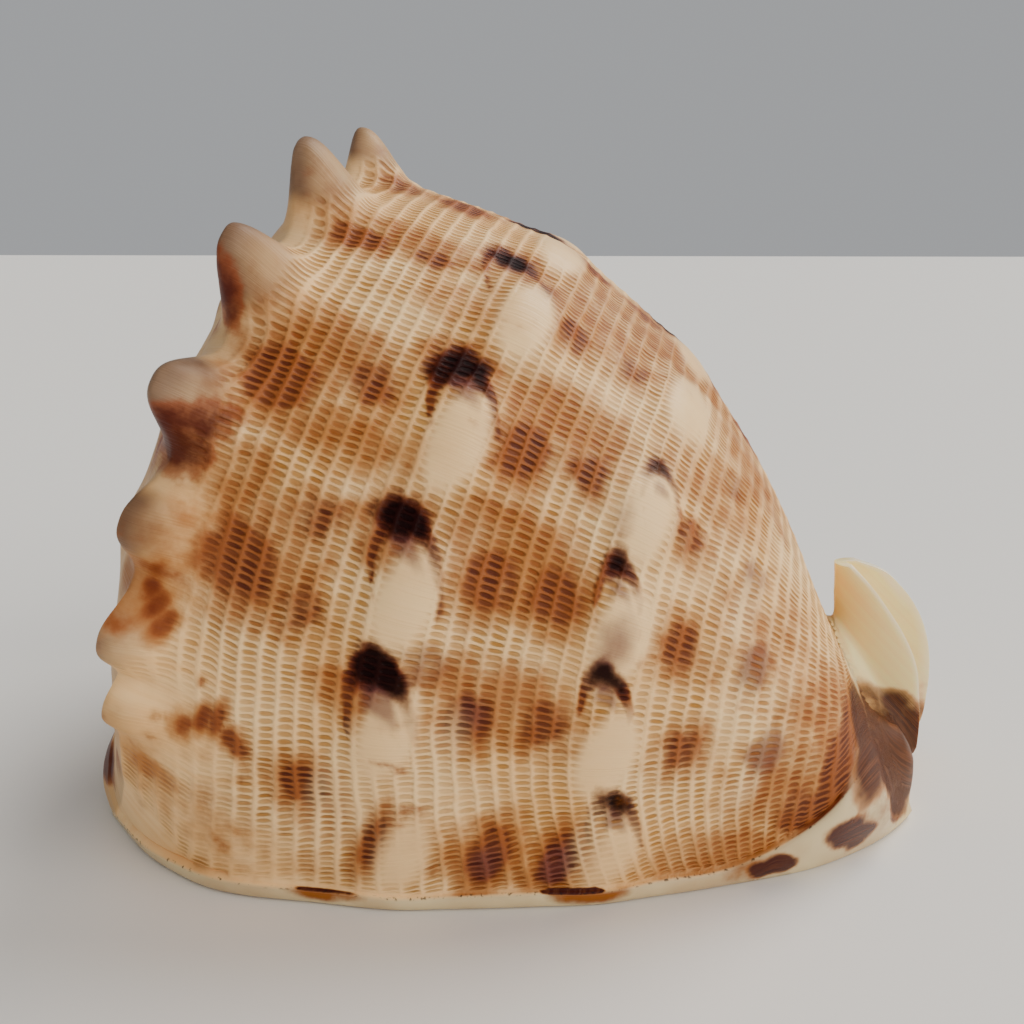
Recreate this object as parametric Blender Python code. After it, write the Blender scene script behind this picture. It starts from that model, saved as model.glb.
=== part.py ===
"""A horned helmet shell, lying on its flat aperture face.

Metres, +Z up, origin on the resting plane under the middle of the shell. The coiling axis lies in a plane
of constant Y and slopes down from the spire (-X) to the siphonal canal (+X). The outer lip is on the -Y side.

A place on the body whorl is given by two numbers. "Run" is the distance along the coiling axis from the
shoulder towards the canal. "Turn" is the angle round the axis: 0 points down at the ground, 90 at the lip
side, 180 at the back and 270 at the far side.
"""

import bpy
import bmesh
import numpy as np
from math import cos, pi, radians, sin

# The coiling axis
AXIS_SLOPE = radians(22.0)
AXIS_START_X = -0.0668
AXIS_Y = 0.0058
AXIS_START_Z = 0.084
ALONG = np.array([cos(AXIS_SLOPE), 0.0, -sin(AXIS_SLOPE)])
UP = np.array([sin(AXIS_SLOPE), 0.0, cos(AXIS_SLOPE)])
LIPWARD = np.array([0.0, -1.0, 0.0])
AXIS_START = np.array([AXIS_START_X, AXIS_Y, AXIS_START_Z])

# The body whorl, as pairs of run and size: the height of its back over the axis, then its two half widths
BODY_LENGTH = 0.186
BACK = ((0, 0.0735), (0.018, 0.0775), (0.036, 0.079), (0.056, 0.0775), (0.078, 0.0715), (0.100, 0.0615),
        (0.117, 0.0505), (0.1315, 0.0385), (0.149, 0.0215), (0.166, 0.0065), (0.178, -0.0035),
        (0.190, -0.0115))
LIP_SIDE = ((0, 0.077), (0.03, 0.0805), (0.06, 0.0805), (0.10, 0.076), (0.14, 0.063), (0.165, 0.050),
            (0.18, 0.036), (0.190, 0.022))
FAR_SIDE = ((0, 0.066), (0.03, 0.068), (0.06, 0.068), (0.10, 0.064), (0.14, 0.055), (0.165, 0.042),
            (0.18, 0.028), (0.190, 0.012))
# How far each side draws in where it meets the ground, as a share of its half width
LIP_DRAW_IN = ((0, 0.66), (0.012, 0.38), (0.03, 0.18), (0.06, 0.09), (0.10, 0.055), (0.14, 0.03), (0.19, 0.0))
FAR_DRAW_IN = ((0, 0.72), (0.01, 0.36), (0.03, 0.20), (0.06, 0.14), (0.10, 0.10), (0.19, 0.0))
WIDEST = 0.42
DRAW_IN_POWER = 2.2
ROUNDNESS = 0.95

# The thick outer lip: a low band along the ground, whose upper edge climbs towards the canal
LIP_BAND = ((0, 0.005), (0.09, 0.005), (0.125, 0.006), (0.150, 0.012), (0.170, 0.016), (0.190, 0.016))
LIP_PROUD = 0.0018
LIP_BAND_MOST = 0.25
BAND_STEP = 0.0002
BAND_LEDGE = 1.1

# The thin shield that spreads over the ground past the far side and the spire end
SHIELD_REACH = 0.009
SHIELD_THICKNESS = 0.0055
SHIELD_LOBE = 0.009
SHIELD_LOBE_HEIGHT = 0.017
SHIELD_LOBE_Y = 0.0
SHIELD_LOBE_HALF_WIDTH = 0.036
SHIELD_LOBE_START = -0.060

# The shoulder: it drops towards the canal where it nears the lip. Pairs of turn and run
SHOULDER = ((0, 0.004), (45, 0.010), (64, 0.0055), (80, 0.0015), (100, 0), (360, 0))

# The spire seen from its tip: pairs of share of the shoulder's size and run
SPIRE = ((0, -0.0245), (0.15, -0.0205), (0.3, -0.0165), (0.5, -0.0120), (0.7, -0.0088), (0.85, -0.0066),
         (0.93, -0.0044), (1, 0))
WHORL_GROWTH = 1.9
SUTURE_TURN = 45.0
SUTURE_DEPTH = 0.0022

# Horns on the shoulder: turn, run, height, half width
HORNS = (
    (63, 0.0080, 0.0050, 0.0048),
    (74, 0.0040, 0.0072, 0.0055),
    (91, 0.0015, 0.0090, 0.0060),
    (110, 0.0000, 0.0140, 0.0062),
    (132, 0.0008, 0.0160, 0.0064),
    (155, 0.0020, 0.0155, 0.0064),
    (181, 0.0040, 0.0135, 0.0062),
    (202, 0.0030, 0.0125, 0.0060),
    (222, 0.0020, 0.0120, 0.0058),
    (244, 0.0020, 0.0110, 0.0056),
    (267, 0.0020, 0.0090, 0.0054),
    (290, 0.0020, 0.0070, 0.0052),
)
HORN_LEAN = radians(32.0)
HORN_RUN_OUT = 0.0095
HORN_SPIRE_SIDE = 0.0056

# Knobs in two spiral rows on the body: turn, run, height
KNOB_ROW_2 = ((60, 0.072, 0.0018), (77, 0.0595, 0.0028), (96, 0.0530, 0.0034), (119, 0.0505, 0.0034),
              (142, 0.0535, 0.0032), (166, 0.0550, 0.0024), (190, 0.0550, 0.0026), (214, 0.0535, 0.0030),
              (238, 0.0515, 0.0028), (262, 0.0490, 0.0024))
KNOB_ROW_3 = ((67, 0.113, 0.0016), (84, 0.102, 0.0024), (102, 0.0945, 0.0028), (121, 0.091, 0.0028),
              (146, 0.0935, 0.0022), (171, 0.0935, 0.0020), (196, 0.092, 0.0024), (221, 0.090, 0.0022))
KNOB_HALF_RUN = 0.0085
KNOB_HALF_TURN = 0.0125

# The siphonal canal: a trough bent up at the front, open forwards. Each level gives the height, the back
# wall's X, the X of the lip-side edge, the X of the far edge, and the half width
CANAL_LEVELS = (
    (0.0012, 0.0780, 0.1020, 0.1030, 0.0110),
    (0.0060, 0.0760, 0.1060, 0.1065, 0.0130),
    (0.0160, 0.0770, 0.1070, 0.1090, 0.0135),
    (0.0250, 0.0805, 0.1058, 0.1105, 0.0130),
    (0.0330, 0.0832, 0.1030, 0.1100, 0.0122),
    (0.0405, 0.0848, 0.0995, 0.1072, 0.0112),
    (0.0475, 0.0850, 0.0955, 0.1025, 0.0098),
    (0.0530, 0.0846, 0.0920, 0.0965, 0.0078),
    (0.0563, 0.0843, 0.0885, 0.0905, 0.0045),
)
CANAL_WALL = 0.0032
CANAL_OUTSIDE_POINTS = 13
CANAL_INSIDE_POINTS = 9

# The narrow aperture in the ground face: X, distance lipward of the axis plane, half width, depth
APERTURE = (
    (-0.0700, 0.0300, 0.0032, 0.014),
    (-0.0520, 0.0355, 0.0050, 0.022),
    (-0.0250, 0.0390, 0.0065, 0.026),
    (0.0050, 0.0400, 0.0070, 0.026),
    (0.0330, 0.0370, 0.0068, 0.024),
    (0.0580, 0.0300, 0.0060, 0.018),
    (0.0780, 0.0200, 0.0055, 0.015),
    (0.0930, 0.0080, 0.0055, 0.015),
    (0.1020, 0.0010, 0.0070, 0.019),
    (0.1150, 0.0000, 0.0080, 0.024),
)
APERTURE_BELOW = 0.004

# The chamber that coils round the pillar, from over the aperture up over the back to the far side
CHAMBER_FIRST_TURN = 30.0
CHAMBER_LAST_TURN = 363.0
CHAMBER_STEPS = 17
CHAMBER_POINTS = 18
CHAMBER_RUN = (0.002, 0.158)
CHAMBER_LAST_RUN = (0.003, 0.135)
CHAMBER_SQUARENESS = 0.35
WALL = 0.0042
GROUND_WALL = 0.0062
PILLAR = 0.012

# Facets
BODY_ROWS = 25
SHOULDER_ROWS = 8
SHOULDER_BAND = 0.020
SPIRE_RINGS = (0.965, 0.93, 0.89, 0.84, 0.76, 0.66, 0.55, 0.43, 0.31, 0.19, 0.08)
GROUND_COLUMNS = 12
HORN_COLUMNS = (-0.0082, -0.0036, 0.0, 0.0036, 0.0082)
STATIONS = 120
OUTLINE_POINTS = 160


def clear_scene():
    for item in list(bpy.data.objects):
        bpy.data.objects.remove(item)


def smooth(points, x):
    """Reads a smooth curve through the given pairs."""
    table = np.array(points, dtype=float)
    xs, ys = table[:, 0], table[:, 1]
    slopes = np.gradient(ys, xs)
    x = np.clip(x, xs[0], xs[-1])
    i = np.clip(np.searchsorted(xs, x) - 1, 0, len(xs) - 2)
    width = xs[i + 1] - xs[i]
    t = (x - xs[i]) / width
    start = (2 * t**3 - 3 * t**2 + 1) * ys[i] + (t**3 - 2 * t**2 + t) * width * slopes[i]
    end = (3 * t**2 - 2 * t**3) * ys[i + 1] + (t**3 - t**2) * width * slopes[i + 1]
    return start + end


def ground_depth(run):
    """Distance from the axis down to the ground, square to the axis."""
    return (AXIS_START_Z - run * sin(AXIS_SLOPE)) / cos(AXIS_SLOPE)


def half_outline(half_width, draw_in, full_height):
    """One side of the whorl, from the ground to its back.

    Gives the distance from the axis plane and the height over the ground.
    """
    quarter = np.linspace(0, pi / 2, OUTLINE_POINTS)
    low = np.linspace(0, WIDEST, OUTLINE_POINTS)[:-1]
    low_out = half_width * (1 - draw_in * (1 - low / WIDEST) ** DRAW_IN_POWER)
    high_out = half_width * np.cos(quarter) ** ROUNDNESS
    high = WIDEST + (1 - WIDEST) * np.sin(quarter) ** ROUNDNESS
    out = np.concatenate([low_out, high_out])
    height = np.concatenate([low, high]) * full_height
    return out, height


def whorl_outline(run):
    """The whorl square to the axis, from the lip over the back to the far edge.

    Gives the distance lipward of the axis plane and the height over the axis.
    """
    depth = ground_depth(run)
    full = depth + smooth(BACK, run)
    lip_out, lip_height = half_outline(smooth(LIP_SIDE, run), smooth(LIP_DRAW_IN, run), full)
    far_out, far_height = half_outline(smooth(FAR_SIDE, run), smooth(FAR_DRAW_IN, run), full)
    lip_out = lip_out + LIP_PROUD * (lip_height < smooth(LIP_BAND, run))
    far_out = far_out + SHIELD_REACH * np.exp(-((far_height / SHIELD_THICKNESS) ** 3))
    out = np.concatenate([lip_out, -far_out[::-1][1:]])
    height = np.concatenate([lip_height, far_height[::-1][1:]])
    return out, height - depth


def turn_of(out, height):
    return np.degrees(np.arctan2(out, -height)) % 360


def travelled(out, height):
    return np.r_[0, np.cumsum(np.hypot(np.diff(out), np.diff(height)))]


def column_shares():
    """Where the columns stand on the shoulder's outline, as shares of its length from lip to far edge."""
    out, height = whorl_outline(HORNS[0][1])
    length = travelled(out, height)
    turns = turn_of(out, height)
    total = length[-1]
    places = [0.0, 0.0025, 0.0075, 0.014]
    centres = [np.interp(horn[0], turns, length) for horn in HORNS]
    for centre in centres:
        places.extend(centre + step for step in HORN_COLUMNS)
    for first, second in zip(centres, centres[1:]):
        places.append((first + second) / 2)
    places.extend(np.linspace(places[3], centres[0] + HORN_COLUMNS[0], 4)[1:-1])
    last = centres[-1] + HORN_COLUMNS[-1]
    places.extend(np.linspace(last, total - 0.012, 7)[1:])
    places.extend([total - 0.0065, total - 0.003, total])
    places = sorted(places)
    kept = [places[0]]
    for place in places[1:]:
        if place - kept[-1] > 0.0024:
            kept.append(place)
    kept[-1] = total
    return np.array(kept) / total


def whorl_table(shares):
    """Outlines at many stations along the axis, read at the column shares and closed along the ground."""
    runs = np.linspace(0, BODY_LENGTH, STATIONS)
    table = []
    for run in runs:
        out, height = whorl_outline(run)
        length = travelled(out, height)
        total = length[-1]
        band = min(smooth(LIP_BAND, run), LIP_BAND_MOST * total)
        over = band * BAND_LEDGE
        rest = (shares[4:] - shares[3]) / (1 - shares[3])
        at = np.r_[0, band * 0.5, band - BAND_STEP, over, over + (total - over) * rest]
        side = np.stack([np.interp(at, length, out), np.interp(at, length, height)], axis=1)
        steps = np.linspace(0, 1, GROUND_COLUMNS + 2)[1:-1, None]
        ground = side[-1] + (side[0] - side[-1]) * steps
        table.append(np.concatenate([side, ground]))
    return runs, np.array(table)


def suture_relief(share, turn):
    """Low coiled steps on the spire, where each whorl rides up on the one before."""
    coil = np.log(np.maximum(share, 0.05)) / np.log(WHORL_GROWTH) + (turn - SUTURE_TURN) / 360.0
    fade = np.clip((0.85 - share) / 0.15, 0, 1) * np.clip(share / 0.2, 0, 1)
    return SUTURE_DEPTH * fade * np.sin(2 * pi * coil)


def skin_grid():
    """The whole outside as rows by columns.

    Each place holds its run, its lipward distance, its height over the axis, and how far it lies past the
    shoulder, which is negative on the spire.
    """
    runs, table = whorl_table(column_shares())
    columns = table.shape[1]
    at_shoulder = table[0]
    turns = turn_of(at_shoulder[:, 0], at_shoulder[:, 1])
    shoulder = np.interp(turns, [pair[0] for pair in SHOULDER], [pair[1] for pair in SHOULDER])
    far_rows = np.linspace(1, SHOULDER_BAND / BODY_LENGTH, BODY_ROWS)
    near_rows = np.linspace(SHOULDER_BAND / BODY_LENGTH, 0, SHOULDER_ROWS)[1:]
    rows = []
    for share in np.concatenate([far_rows, near_rows]):
        run = shoulder + (BODY_LENGTH - shoulder) * share
        out = [np.interp(run[j], runs, table[:, j, 0]) for j in range(columns)]
        height = [np.interp(run[j], runs, table[:, j, 1]) for j in range(columns)]
        rows.append(np.stack([run, out, height, run], axis=1))
    rim = rows[-1]
    for share in SPIRE_RINGS:
        run = smooth(SPIRE, share) - suture_relief(share, turns) + shoulder * share
        past = np.full(columns, (share - 1) * LIP_SIDE[0][1])
        rows.append(np.stack([run, rim[:, 1] * share, rim[:, 2] * share, past], axis=1))
    return np.array(rows)


def arc_gap(turn, centre, radius):
    return radius * np.radians((turn - centre + 180) % 360 - 180)


def raise_horns(grid, points):
    turn = turn_of(grid[..., 1], grid[..., 2])
    radius = np.hypot(grid[..., 1], grid[..., 2])
    outward = points - (AXIS_START + grid[..., 0:1] * ALONG)
    outward = outward / np.maximum(np.linalg.norm(outward, axis=-1, keepdims=True), 1e-6)
    heading = cos(HORN_LEAN) * outward - sin(HORN_LEAN) * ALONG
    lift = np.zeros(turn.shape)
    for centre, run, height, half_width in HORNS:
        across = np.abs(arc_gap(turn, centre, radius)) / half_width
        along = grid[..., 3] - run
        body_side = np.exp(-(np.maximum(along, 0) / HORN_RUN_OUT) ** 1.7)
        spire_side = np.exp(-(np.maximum(-along, 0) / HORN_SPIRE_SIDE) ** 2.6)
        lift = np.maximum(lift, height * np.exp(-across**2.6) * body_side * spire_side)
    return points + lift[..., None] * heading


def raise_knobs(grid, points):
    turn = turn_of(grid[..., 1], grid[..., 2])
    radius = np.hypot(grid[..., 1], grid[..., 2])
    outward = points - (AXIS_START + grid[..., 0:1] * ALONG)
    outward = outward / np.maximum(np.linalg.norm(outward, axis=-1, keepdims=True), 1e-6)
    lift = np.zeros(turn.shape)
    for centre, run, height in KNOB_ROW_2 + KNOB_ROW_3:
        across = np.abs(arc_gap(turn, centre, radius)) / KNOB_HALF_TURN
        along = np.abs(grid[..., 3] - run) / KNOB_HALF_RUN
        lift = np.maximum(lift, height * np.exp(-across**2.4 - along**2.4))
    return points + lift[..., None] * outward


def spread_shield(points):
    """Pushes the ground edge of the spire end outwards into a rounded lobe."""
    x, y, z = points[..., 0], points[..., 1], points[..., 2]
    end = np.clip((SHIELD_LOBE_START - x) / 0.030, 0, 1)
    side = np.exp(-(((y - SHIELD_LOBE_Y) / SHIELD_LOBE_HALF_WIDTH) ** 4))
    low = np.exp(-((z / SHIELD_LOBE_HEIGHT) ** 3))
    points = points.copy()
    points[..., 0] = x - SHIELD_LOBE * end * side * low
    return points


def mesh_object(name, rings, tip=None):
    """A closed skin through rings of points, capped at both ends."""
    mesh = bpy.data.meshes.new(name)
    build = bmesh.new()
    loops = [[build.verts.new(point) for point in ring] for ring in rings]
    count = len(loops[0])
    for lower, upper in zip(loops, loops[1:]):
        for j in range(count):
            k = (j + 1) % count
            build.faces.new((lower[j], lower[k], upper[k], upper[j]))
    build.faces.new(loops[0])
    if tip is None:
        build.faces.new(loops[-1])
    else:
        peak = build.verts.new(tip)
        for j in range(count):
            build.faces.new((loops[-1][j], loops[-1][(j + 1) % count], peak))
    bmesh.ops.triangulate(build, faces=build.faces[:])
    bmesh.ops.recalc_face_normals(build, faces=build.faces[:])
    build.to_mesh(mesh)
    build.free()
    item = bpy.data.objects.new(name, mesh)
    bpy.context.scene.collection.objects.link(item)
    return item


def shell_skin():
    grid = skin_grid()
    points = AXIS_START + grid[..., 0:1] * ALONG + grid[..., 1:2] * LIPWARD + grid[..., 2:3] * UP
    on_ground = points[..., 2] < 1e-5
    points = raise_knobs(grid, points)
    points = raise_horns(grid, points)
    points = spread_shield(points)
    points[..., 2] = np.where(on_ground, 0.0, np.maximum(points[..., 2], 0.0))
    tip = AXIS_START + SPIRE[0][1] * ALONG
    return mesh_object("shell", points, tip)


def canal_ring(level):
    height, back, lip_edge, far_edge, half = level
    ring = []
    for wall, count, order in ((0.0, CANAL_OUTSIDE_POINTS, 1), (CANAL_WALL, CANAL_INSIDE_POINTS, -1)):
        for step in np.linspace(-1, 1, count)[::order]:
            edge = lip_edge + (far_edge - lip_edge) * (step + 1) / 2
            reach = edge - back - wall
            x = back + wall + reach * (1 - cos(step * pi / 2))
            y = AXIS_Y + (half - wall) * sin(step * pi / 2)
            ring.append((x, y, height))
    return ring


def canal():
    rings = [canal_ring(level) for level in CANAL_LEVELS]
    return mesh_object("canal_form", rings)


def aperture_cutter():
    rings = []
    for x, lipward, half, depth in APERTURE:
        ring = []
        for side, up in ((-1, -APERTURE_BELOW), (1, -APERTURE_BELOW), (1.1, depth * 0.5), (0.7, depth * 0.9),
                         (0, depth), (-0.7, depth * 0.9), (-1.1, depth * 0.5)):
            ring.append((x, AXIS_Y - lipward - side * half, up))
        rings.append(ring)
    return mesh_object("aperture_cutter", rings)


def outer_radius(turn, run):
    out, height = whorl_outline(run)
    return np.interp(turn, turn_of(out, height), np.hypot(out, height))


def chamber_radius_limit(turn, run):
    """How far from the axis the chamber may reach: short of the outer wall and of the ground face."""
    limit = outer_radius(turn, run) - WALL
    if turn < 90 or turn > 270:
        limit = min(limit, (ground_depth(run) - GROUND_WALL) / max(cos(radians(turn)), 0.05))
    return limit


def chamber_cutter():
    rings = []
    for share in np.linspace(0, 1, CHAMBER_STEPS):
        turn = CHAMBER_FIRST_TURN + (CHAMBER_LAST_TURN - CHAMBER_FIRST_TURN) * share
        first = CHAMBER_RUN[0] + (CHAMBER_LAST_RUN[0] - CHAMBER_RUN[0]) * share
        last = CHAMBER_RUN[1] + (CHAMBER_LAST_RUN[1] - CHAMBER_RUN[1]) * share
        spoke = sin(radians(turn)) * LIPWARD - cos(radians(turn)) * UP
        ring = []
        for angle in np.linspace(0, 2 * pi, CHAMBER_POINTS, endpoint=False):
            run = (first + last) / 2 - (last - first) / 2 * cos(angle)
            outer = chamber_radius_limit(turn, run)
            inner = PILLAR * (1 - 0.75 * run / BODY_LENGTH)
            middle = (outer + inner) / 2
            reach = max((outer - inner) / 2, 0.001)
            radius = middle + reach * np.sign(sin(angle)) * abs(sin(angle)) ** CHAMBER_SQUARENESS
            ring.append(AXIS_START + run * ALONG + radius * spoke)
        rings.append(ring)
    return mesh_object("chamber_cutter", rings)


def combine(target, other, operation):
    change = target.modifiers.new(other.name, "BOOLEAN")
    change.object = other
    change.operation = operation
    change.solver = "EXACT"
    other.hide_render = True
    other.display_type = "WIRE"


def shell_material():
    material = bpy.data.materials.new("shell")
    material.use_nodes = True
    surface = material.node_tree.nodes["Principled BSDF"]
    surface.inputs["Base Color"].default_value = (0.80, 0.62, 0.43, 1.0)
    surface.inputs["Roughness"].default_value = 0.35
    surface.inputs["Metallic"].default_value = 0.0
    return material


def main():
    clear_scene()
    shell = shell_skin()
    combine(shell, canal(), "UNION")
    combine(shell, chamber_cutter(), "DIFFERENCE")
    combine(shell, aperture_cutter(), "DIFFERENCE")
    shell.data.materials.append(shell_material())
    shell.data.shade_smooth()
    shell.data.set_sharp_from_angle(angle=radians(40))


main()
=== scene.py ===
# The looks of a horned helmet shell lying on its aperture, in metres, +Z up.
#
# A place on the body whorl is given by two numbers. "Run" is the distance along the coiling axis from the
# shoulder towards the canal. "Turn" is the angle in degrees round the axis: 0 points down at the ground,
# 90 at the lip side (-Y), 180 at the back and 270 at the far side. Spiral lanes of net run round the body
# at a fixed "lane place", which is the run at turn 94 and drifts towards the canal near the lip.

from math import cos, pi, radians, sin

import bmesh
import bpy
import numpy as np
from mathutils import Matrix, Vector
from mathutils.bvhtree import BVHTree
from mathutils.interpolate import poly_3d_calc


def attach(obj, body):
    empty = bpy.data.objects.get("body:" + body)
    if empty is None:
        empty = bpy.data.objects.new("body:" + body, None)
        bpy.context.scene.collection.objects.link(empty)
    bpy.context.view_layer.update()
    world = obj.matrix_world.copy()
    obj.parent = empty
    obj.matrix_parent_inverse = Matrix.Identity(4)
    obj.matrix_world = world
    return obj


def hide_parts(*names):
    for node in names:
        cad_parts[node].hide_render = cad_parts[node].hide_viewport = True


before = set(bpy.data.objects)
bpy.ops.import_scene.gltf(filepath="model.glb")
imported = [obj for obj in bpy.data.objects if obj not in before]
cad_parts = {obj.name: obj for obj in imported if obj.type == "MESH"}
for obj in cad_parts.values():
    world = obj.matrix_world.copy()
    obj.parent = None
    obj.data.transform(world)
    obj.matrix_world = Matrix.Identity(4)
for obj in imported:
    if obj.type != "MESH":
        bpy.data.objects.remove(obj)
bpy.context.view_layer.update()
MM = 0.001
TINY = 1e-6
ON_GROUND = 1e-5


def in_metres(units, *rows):
    """A table with its lengths in metres. Each column has its unit: MM, or 1 for a turn or a strength."""
    return tuple(tuple(round(value * unit, 7) for value, unit in zip(row, units)) for row in rows)


def shade(red, green, blue):
    """A colour given in the screen's numbers, as the shader wants it."""
    return tuple(((value / 255 + 0.055) / 1.055) ** 2.4 for value in (red, green, blue)) + (1.0,)


# The coiling axis, as in the frame's solid
AXIS_SLOPE = radians(22.0)
AXIS_START_X = -0.0668
AXIS_Y = 0.0058
AXIS_START_Z = 0.084
ALONG = np.array([cos(AXIS_SLOPE), 0.0, -sin(AXIS_SLOPE)])
UP = np.array([sin(AXIS_SLOPE), 0.0, cos(AXIS_SLOPE)])
LIPWARD = np.array([0.0, -1.0, 0.0])
AXIS_START = np.array([AXIS_START_X, AXIS_Y, AXIS_START_Z])

# The body whorl, as pairs of run and size
BODY_LENGTH = 0.186
BACK = ((0, 0.0735), (0.018, 0.0775), (0.036, 0.079), (0.056, 0.0775), (0.078, 0.0715), (0.100, 0.0615),
        (0.117, 0.0505), (0.1315, 0.0385), (0.149, 0.0215), (0.166, 0.0065), (0.178, -0.0035),
        (0.190, -0.0115))
LIP_SIDE = ((0, 0.077), (0.03, 0.0805), (0.06, 0.0805), (0.10, 0.076), (0.14, 0.063), (0.165, 0.050),
            (0.18, 0.036), (0.190, 0.022))
FAR_SIDE = ((0, 0.066), (0.03, 0.068), (0.06, 0.068), (0.10, 0.064), (0.14, 0.055), (0.165, 0.042),
            (0.18, 0.028), (0.190, 0.012))
LIP_DRAW_IN = ((0, 0.66), (0.012, 0.38), (0.03, 0.18), (0.06, 0.09), (0.10, 0.055), (0.14, 0.03), (0.19, 0.0))
FAR_DRAW_IN = ((0, 0.72), (0.01, 0.36), (0.03, 0.20), (0.06, 0.14), (0.10, 0.10), (0.19, 0.0))
WIDEST = 0.42
DRAW_IN_POWER = 2.2
ROUNDNESS = 0.95

# The thick outer lip: a low rolled band along the ground
LIP_BAND = ((0, 0.0045), (0.09, 0.0045), (0.125, 0.0052), (0.143, 0.0066), (0.1507, 0.0111), (0.1561, 0.0165),
            (0.1601, 0.0240), (0.168, 0.0300), (0.190, 0.0300))
LIP_PROUD = 0.0021
LIP_BAND_MOST = 0.30
LIP_CREASE = 0.0007
LIP_BULGE_LEVEL = 0.42
LIP_BULGE_HALF = 0.60
CREASE_LEVEL = 1.07
CREASE_HALF = 0.09
BAND_COLUMNS = (0, 0.10, 0.24, 0.40, 0.58, 0.74, 0.87, 0.96, 1.02, 1.09, 1.2)

# The thin shield on the ground past the far side and the spire end
SHIELD_REACH = 0.009
SHIELD_THICKNESS = 0.0055
SHIELD_LOBE = 0.009
SHIELD_LOBE_HEIGHT = 0.017
SHIELD_LOBE_Y = 0.0
SHIELD_LOBE_HALF_WIDTH = 0.036
SHIELD_LOBE_START = -0.060
SHIELD_LOBE_FADE = 0.030

# The shoulder, as pairs of turn and run, and the spire, as pairs of share of the shoulder's size and run
SHOULDER = ((0, 0.004), (45, 0.010), (64, 0.0055), (80, 0.0015), (100, 0), (360, 0))
SPIRE = ((0, -0.0245), (0.15, -0.0205), (0.3, -0.0165), (0.5, -0.0120), (0.7, -0.0088), (0.85, -0.0066),
         (0.93, -0.0044), (1, 0))
WHORL_GROWTH = 1.9
SUTURE_TURN = 45.0
SUTURE_LAST_SHARE = 0.02
SUTURE_DEPTH = 0.0016
SUTURE_WIDTH = 0.07
SPIRE_KNOB_HEIGHT = 0.0030
SPIRE_KNOBS = 13
SPIRE_KNOB_PLACE = 0.78
SPIRE_KNOB_WIDTH = 0.17
SPIRE_KNOB_POWER = 1.6
SPIRE_KNOB_LEAST = 0.35
# Where the spire's relief dies away, as a share of the shoulder's size, and over what width
RELIEF_FROM_SHOULDER = (0.90, 0.12)
RELIEF_FROM_APEX = (0.06, 0.40)

# Horns on the shoulder: turn, run, height, half width
HORNS = in_metres(
    (1, MM, MM, MM),
    (63, 8, 5, 4.8), (74, 4, 7.2, 5.5), (91, 1.5, 9, 6), (110, 0, 14, 6.2), (132, 0.8, 16, 6.4),
    (155, 2, 15.5, 6.4), (181, 4, 13.5, 6.2), (202, 3, 12.5, 6), (222, 2, 12, 5.8), (244, 2, 11, 5.6),
    (267, 2, 9, 5.4), (290, 2, 7, 5.2),
)
HORN_LEAN = radians(27.0)
HORN_RUN_OUT = 0.0070
HORN_RIDGE_REACH = 0.0130
HORN_RIDGE_SHARE = 0.18
HORN_SPIRE_SIDE = 0.0044
HORN_SHARE = 0.95
HORN_WIDENING = 1.22
HORN_STATION = 0.008
HORN_PEG_POWER = 2.3
HORN_RIDGE_POWER = 2.0
HORN_SPIRE_POWER = 3.0
HORN_ROUND_POWER = 2.6
# How much weaker the horns' grey and painted shade are on their lit body side
HORN_LIT_SIDE_SHARE = 0.38
# How fast the shield and the lip end on the spire's side
SHIELD_END = 0.22

# Knobs in spiral rows: turn, run, height
KNOBS = in_metres(
    (1, MM, MM),
    (60, 72, 1.8), (77, 59.5, 2.8), (96, 53, 3.4), (119, 50.5, 3.4), (142, 53.5, 3.2), (166, 55, 2.4),
    (190, 55, 2.6), (214, 53.5, 3), (238, 51.5, 2.8), (262, 49, 2.4), (67, 113, 1.6), (84, 102, 2.4),
    (102, 94.5, 2.8), (121, 91, 2.8), (146, 93.5, 2.2), (171, 93.5, 2), (196, 92, 2.4), (221, 90, 2.2),
    (93, 127, 0.8), (107, 121, 0.9), (124, 116, 0.8),
)
KNOB_HALF_RUN = 0.0085
KNOB_HALF_TURN = 0.0125
SMOOTH_HALF_RUN = 0.0064
SMOOTH_HALF_TURN = 0.0120
SMOOTH_SHIFT = 0.0012
SMALL_KNOB = 0.0012
SMALL_KNOB_SHARE = 0.55
KNOB_POWER = 2.4
BARE_EDGE = (0.40, 1.45)
BARE_KNOB = 0.0022

# The siphonal canal: height, back wall's X, X of the lip-side edge, X of the far edge, half width
CANAL_LEVELS = in_metres(
    (MM, MM, MM, MM, MM),
    (1.2, 78, 103, 109, 11.5), (6, 76, 104.5, 112.5, 13), (16, 77, 105.4, 114.3, 13.5),
    (25, 80.5, 104.8, 114.1, 13), (33, 83.2, 103.6, 112.4, 12.2), (40.5, 84.2, 100.3, 109.2, 11.2),
    (47.5, 84.6, 95.7, 104, 9.8), (53, 84.4, 91.4, 97.5, 7.8), (56.3, 84.1, 88, 90, 4.5),
)
CANAL_WALL = 0.0030
# Width of the painted highlight along the canal's edges
CANAL_RIM = 0.0016
CANAL_GAP = 0.02
CANAL_GROWTH = 900.0
CANAL_RINGS = 44
CANAL_RING_POWER = 0.8
CANAL_LOW = (0.008, 0.026)
CANAL_LOW_SHARE = 0.5
CANAL_OUTSIDE_POINTS = 41
CANAL_INSIDE_POINTS = 31

# Where the canal grows out of the body: the seam is evened out and its colours run together
SEAM_WIDTH = 0.0045
SEAM_COLOUR_WIDTH = 0.0030
SEAM_SOFTENING = 0.6
SEAM_ROUNDS = 110
SEAM_LOWEST = 0.003
WELD = 0.00002
TOE_PLACE = (0.0885, -0.0165, 0.0080)
TOE_SIZE = (0.0135, 0.0165, 0.0170)
TOE_RINGS = 24
TOE_STEPS = 48
TOE_TIP = 0.02
SHARP_EDGE = radians(60.0)
INSIDE_DEPTH = 0.0003

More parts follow.
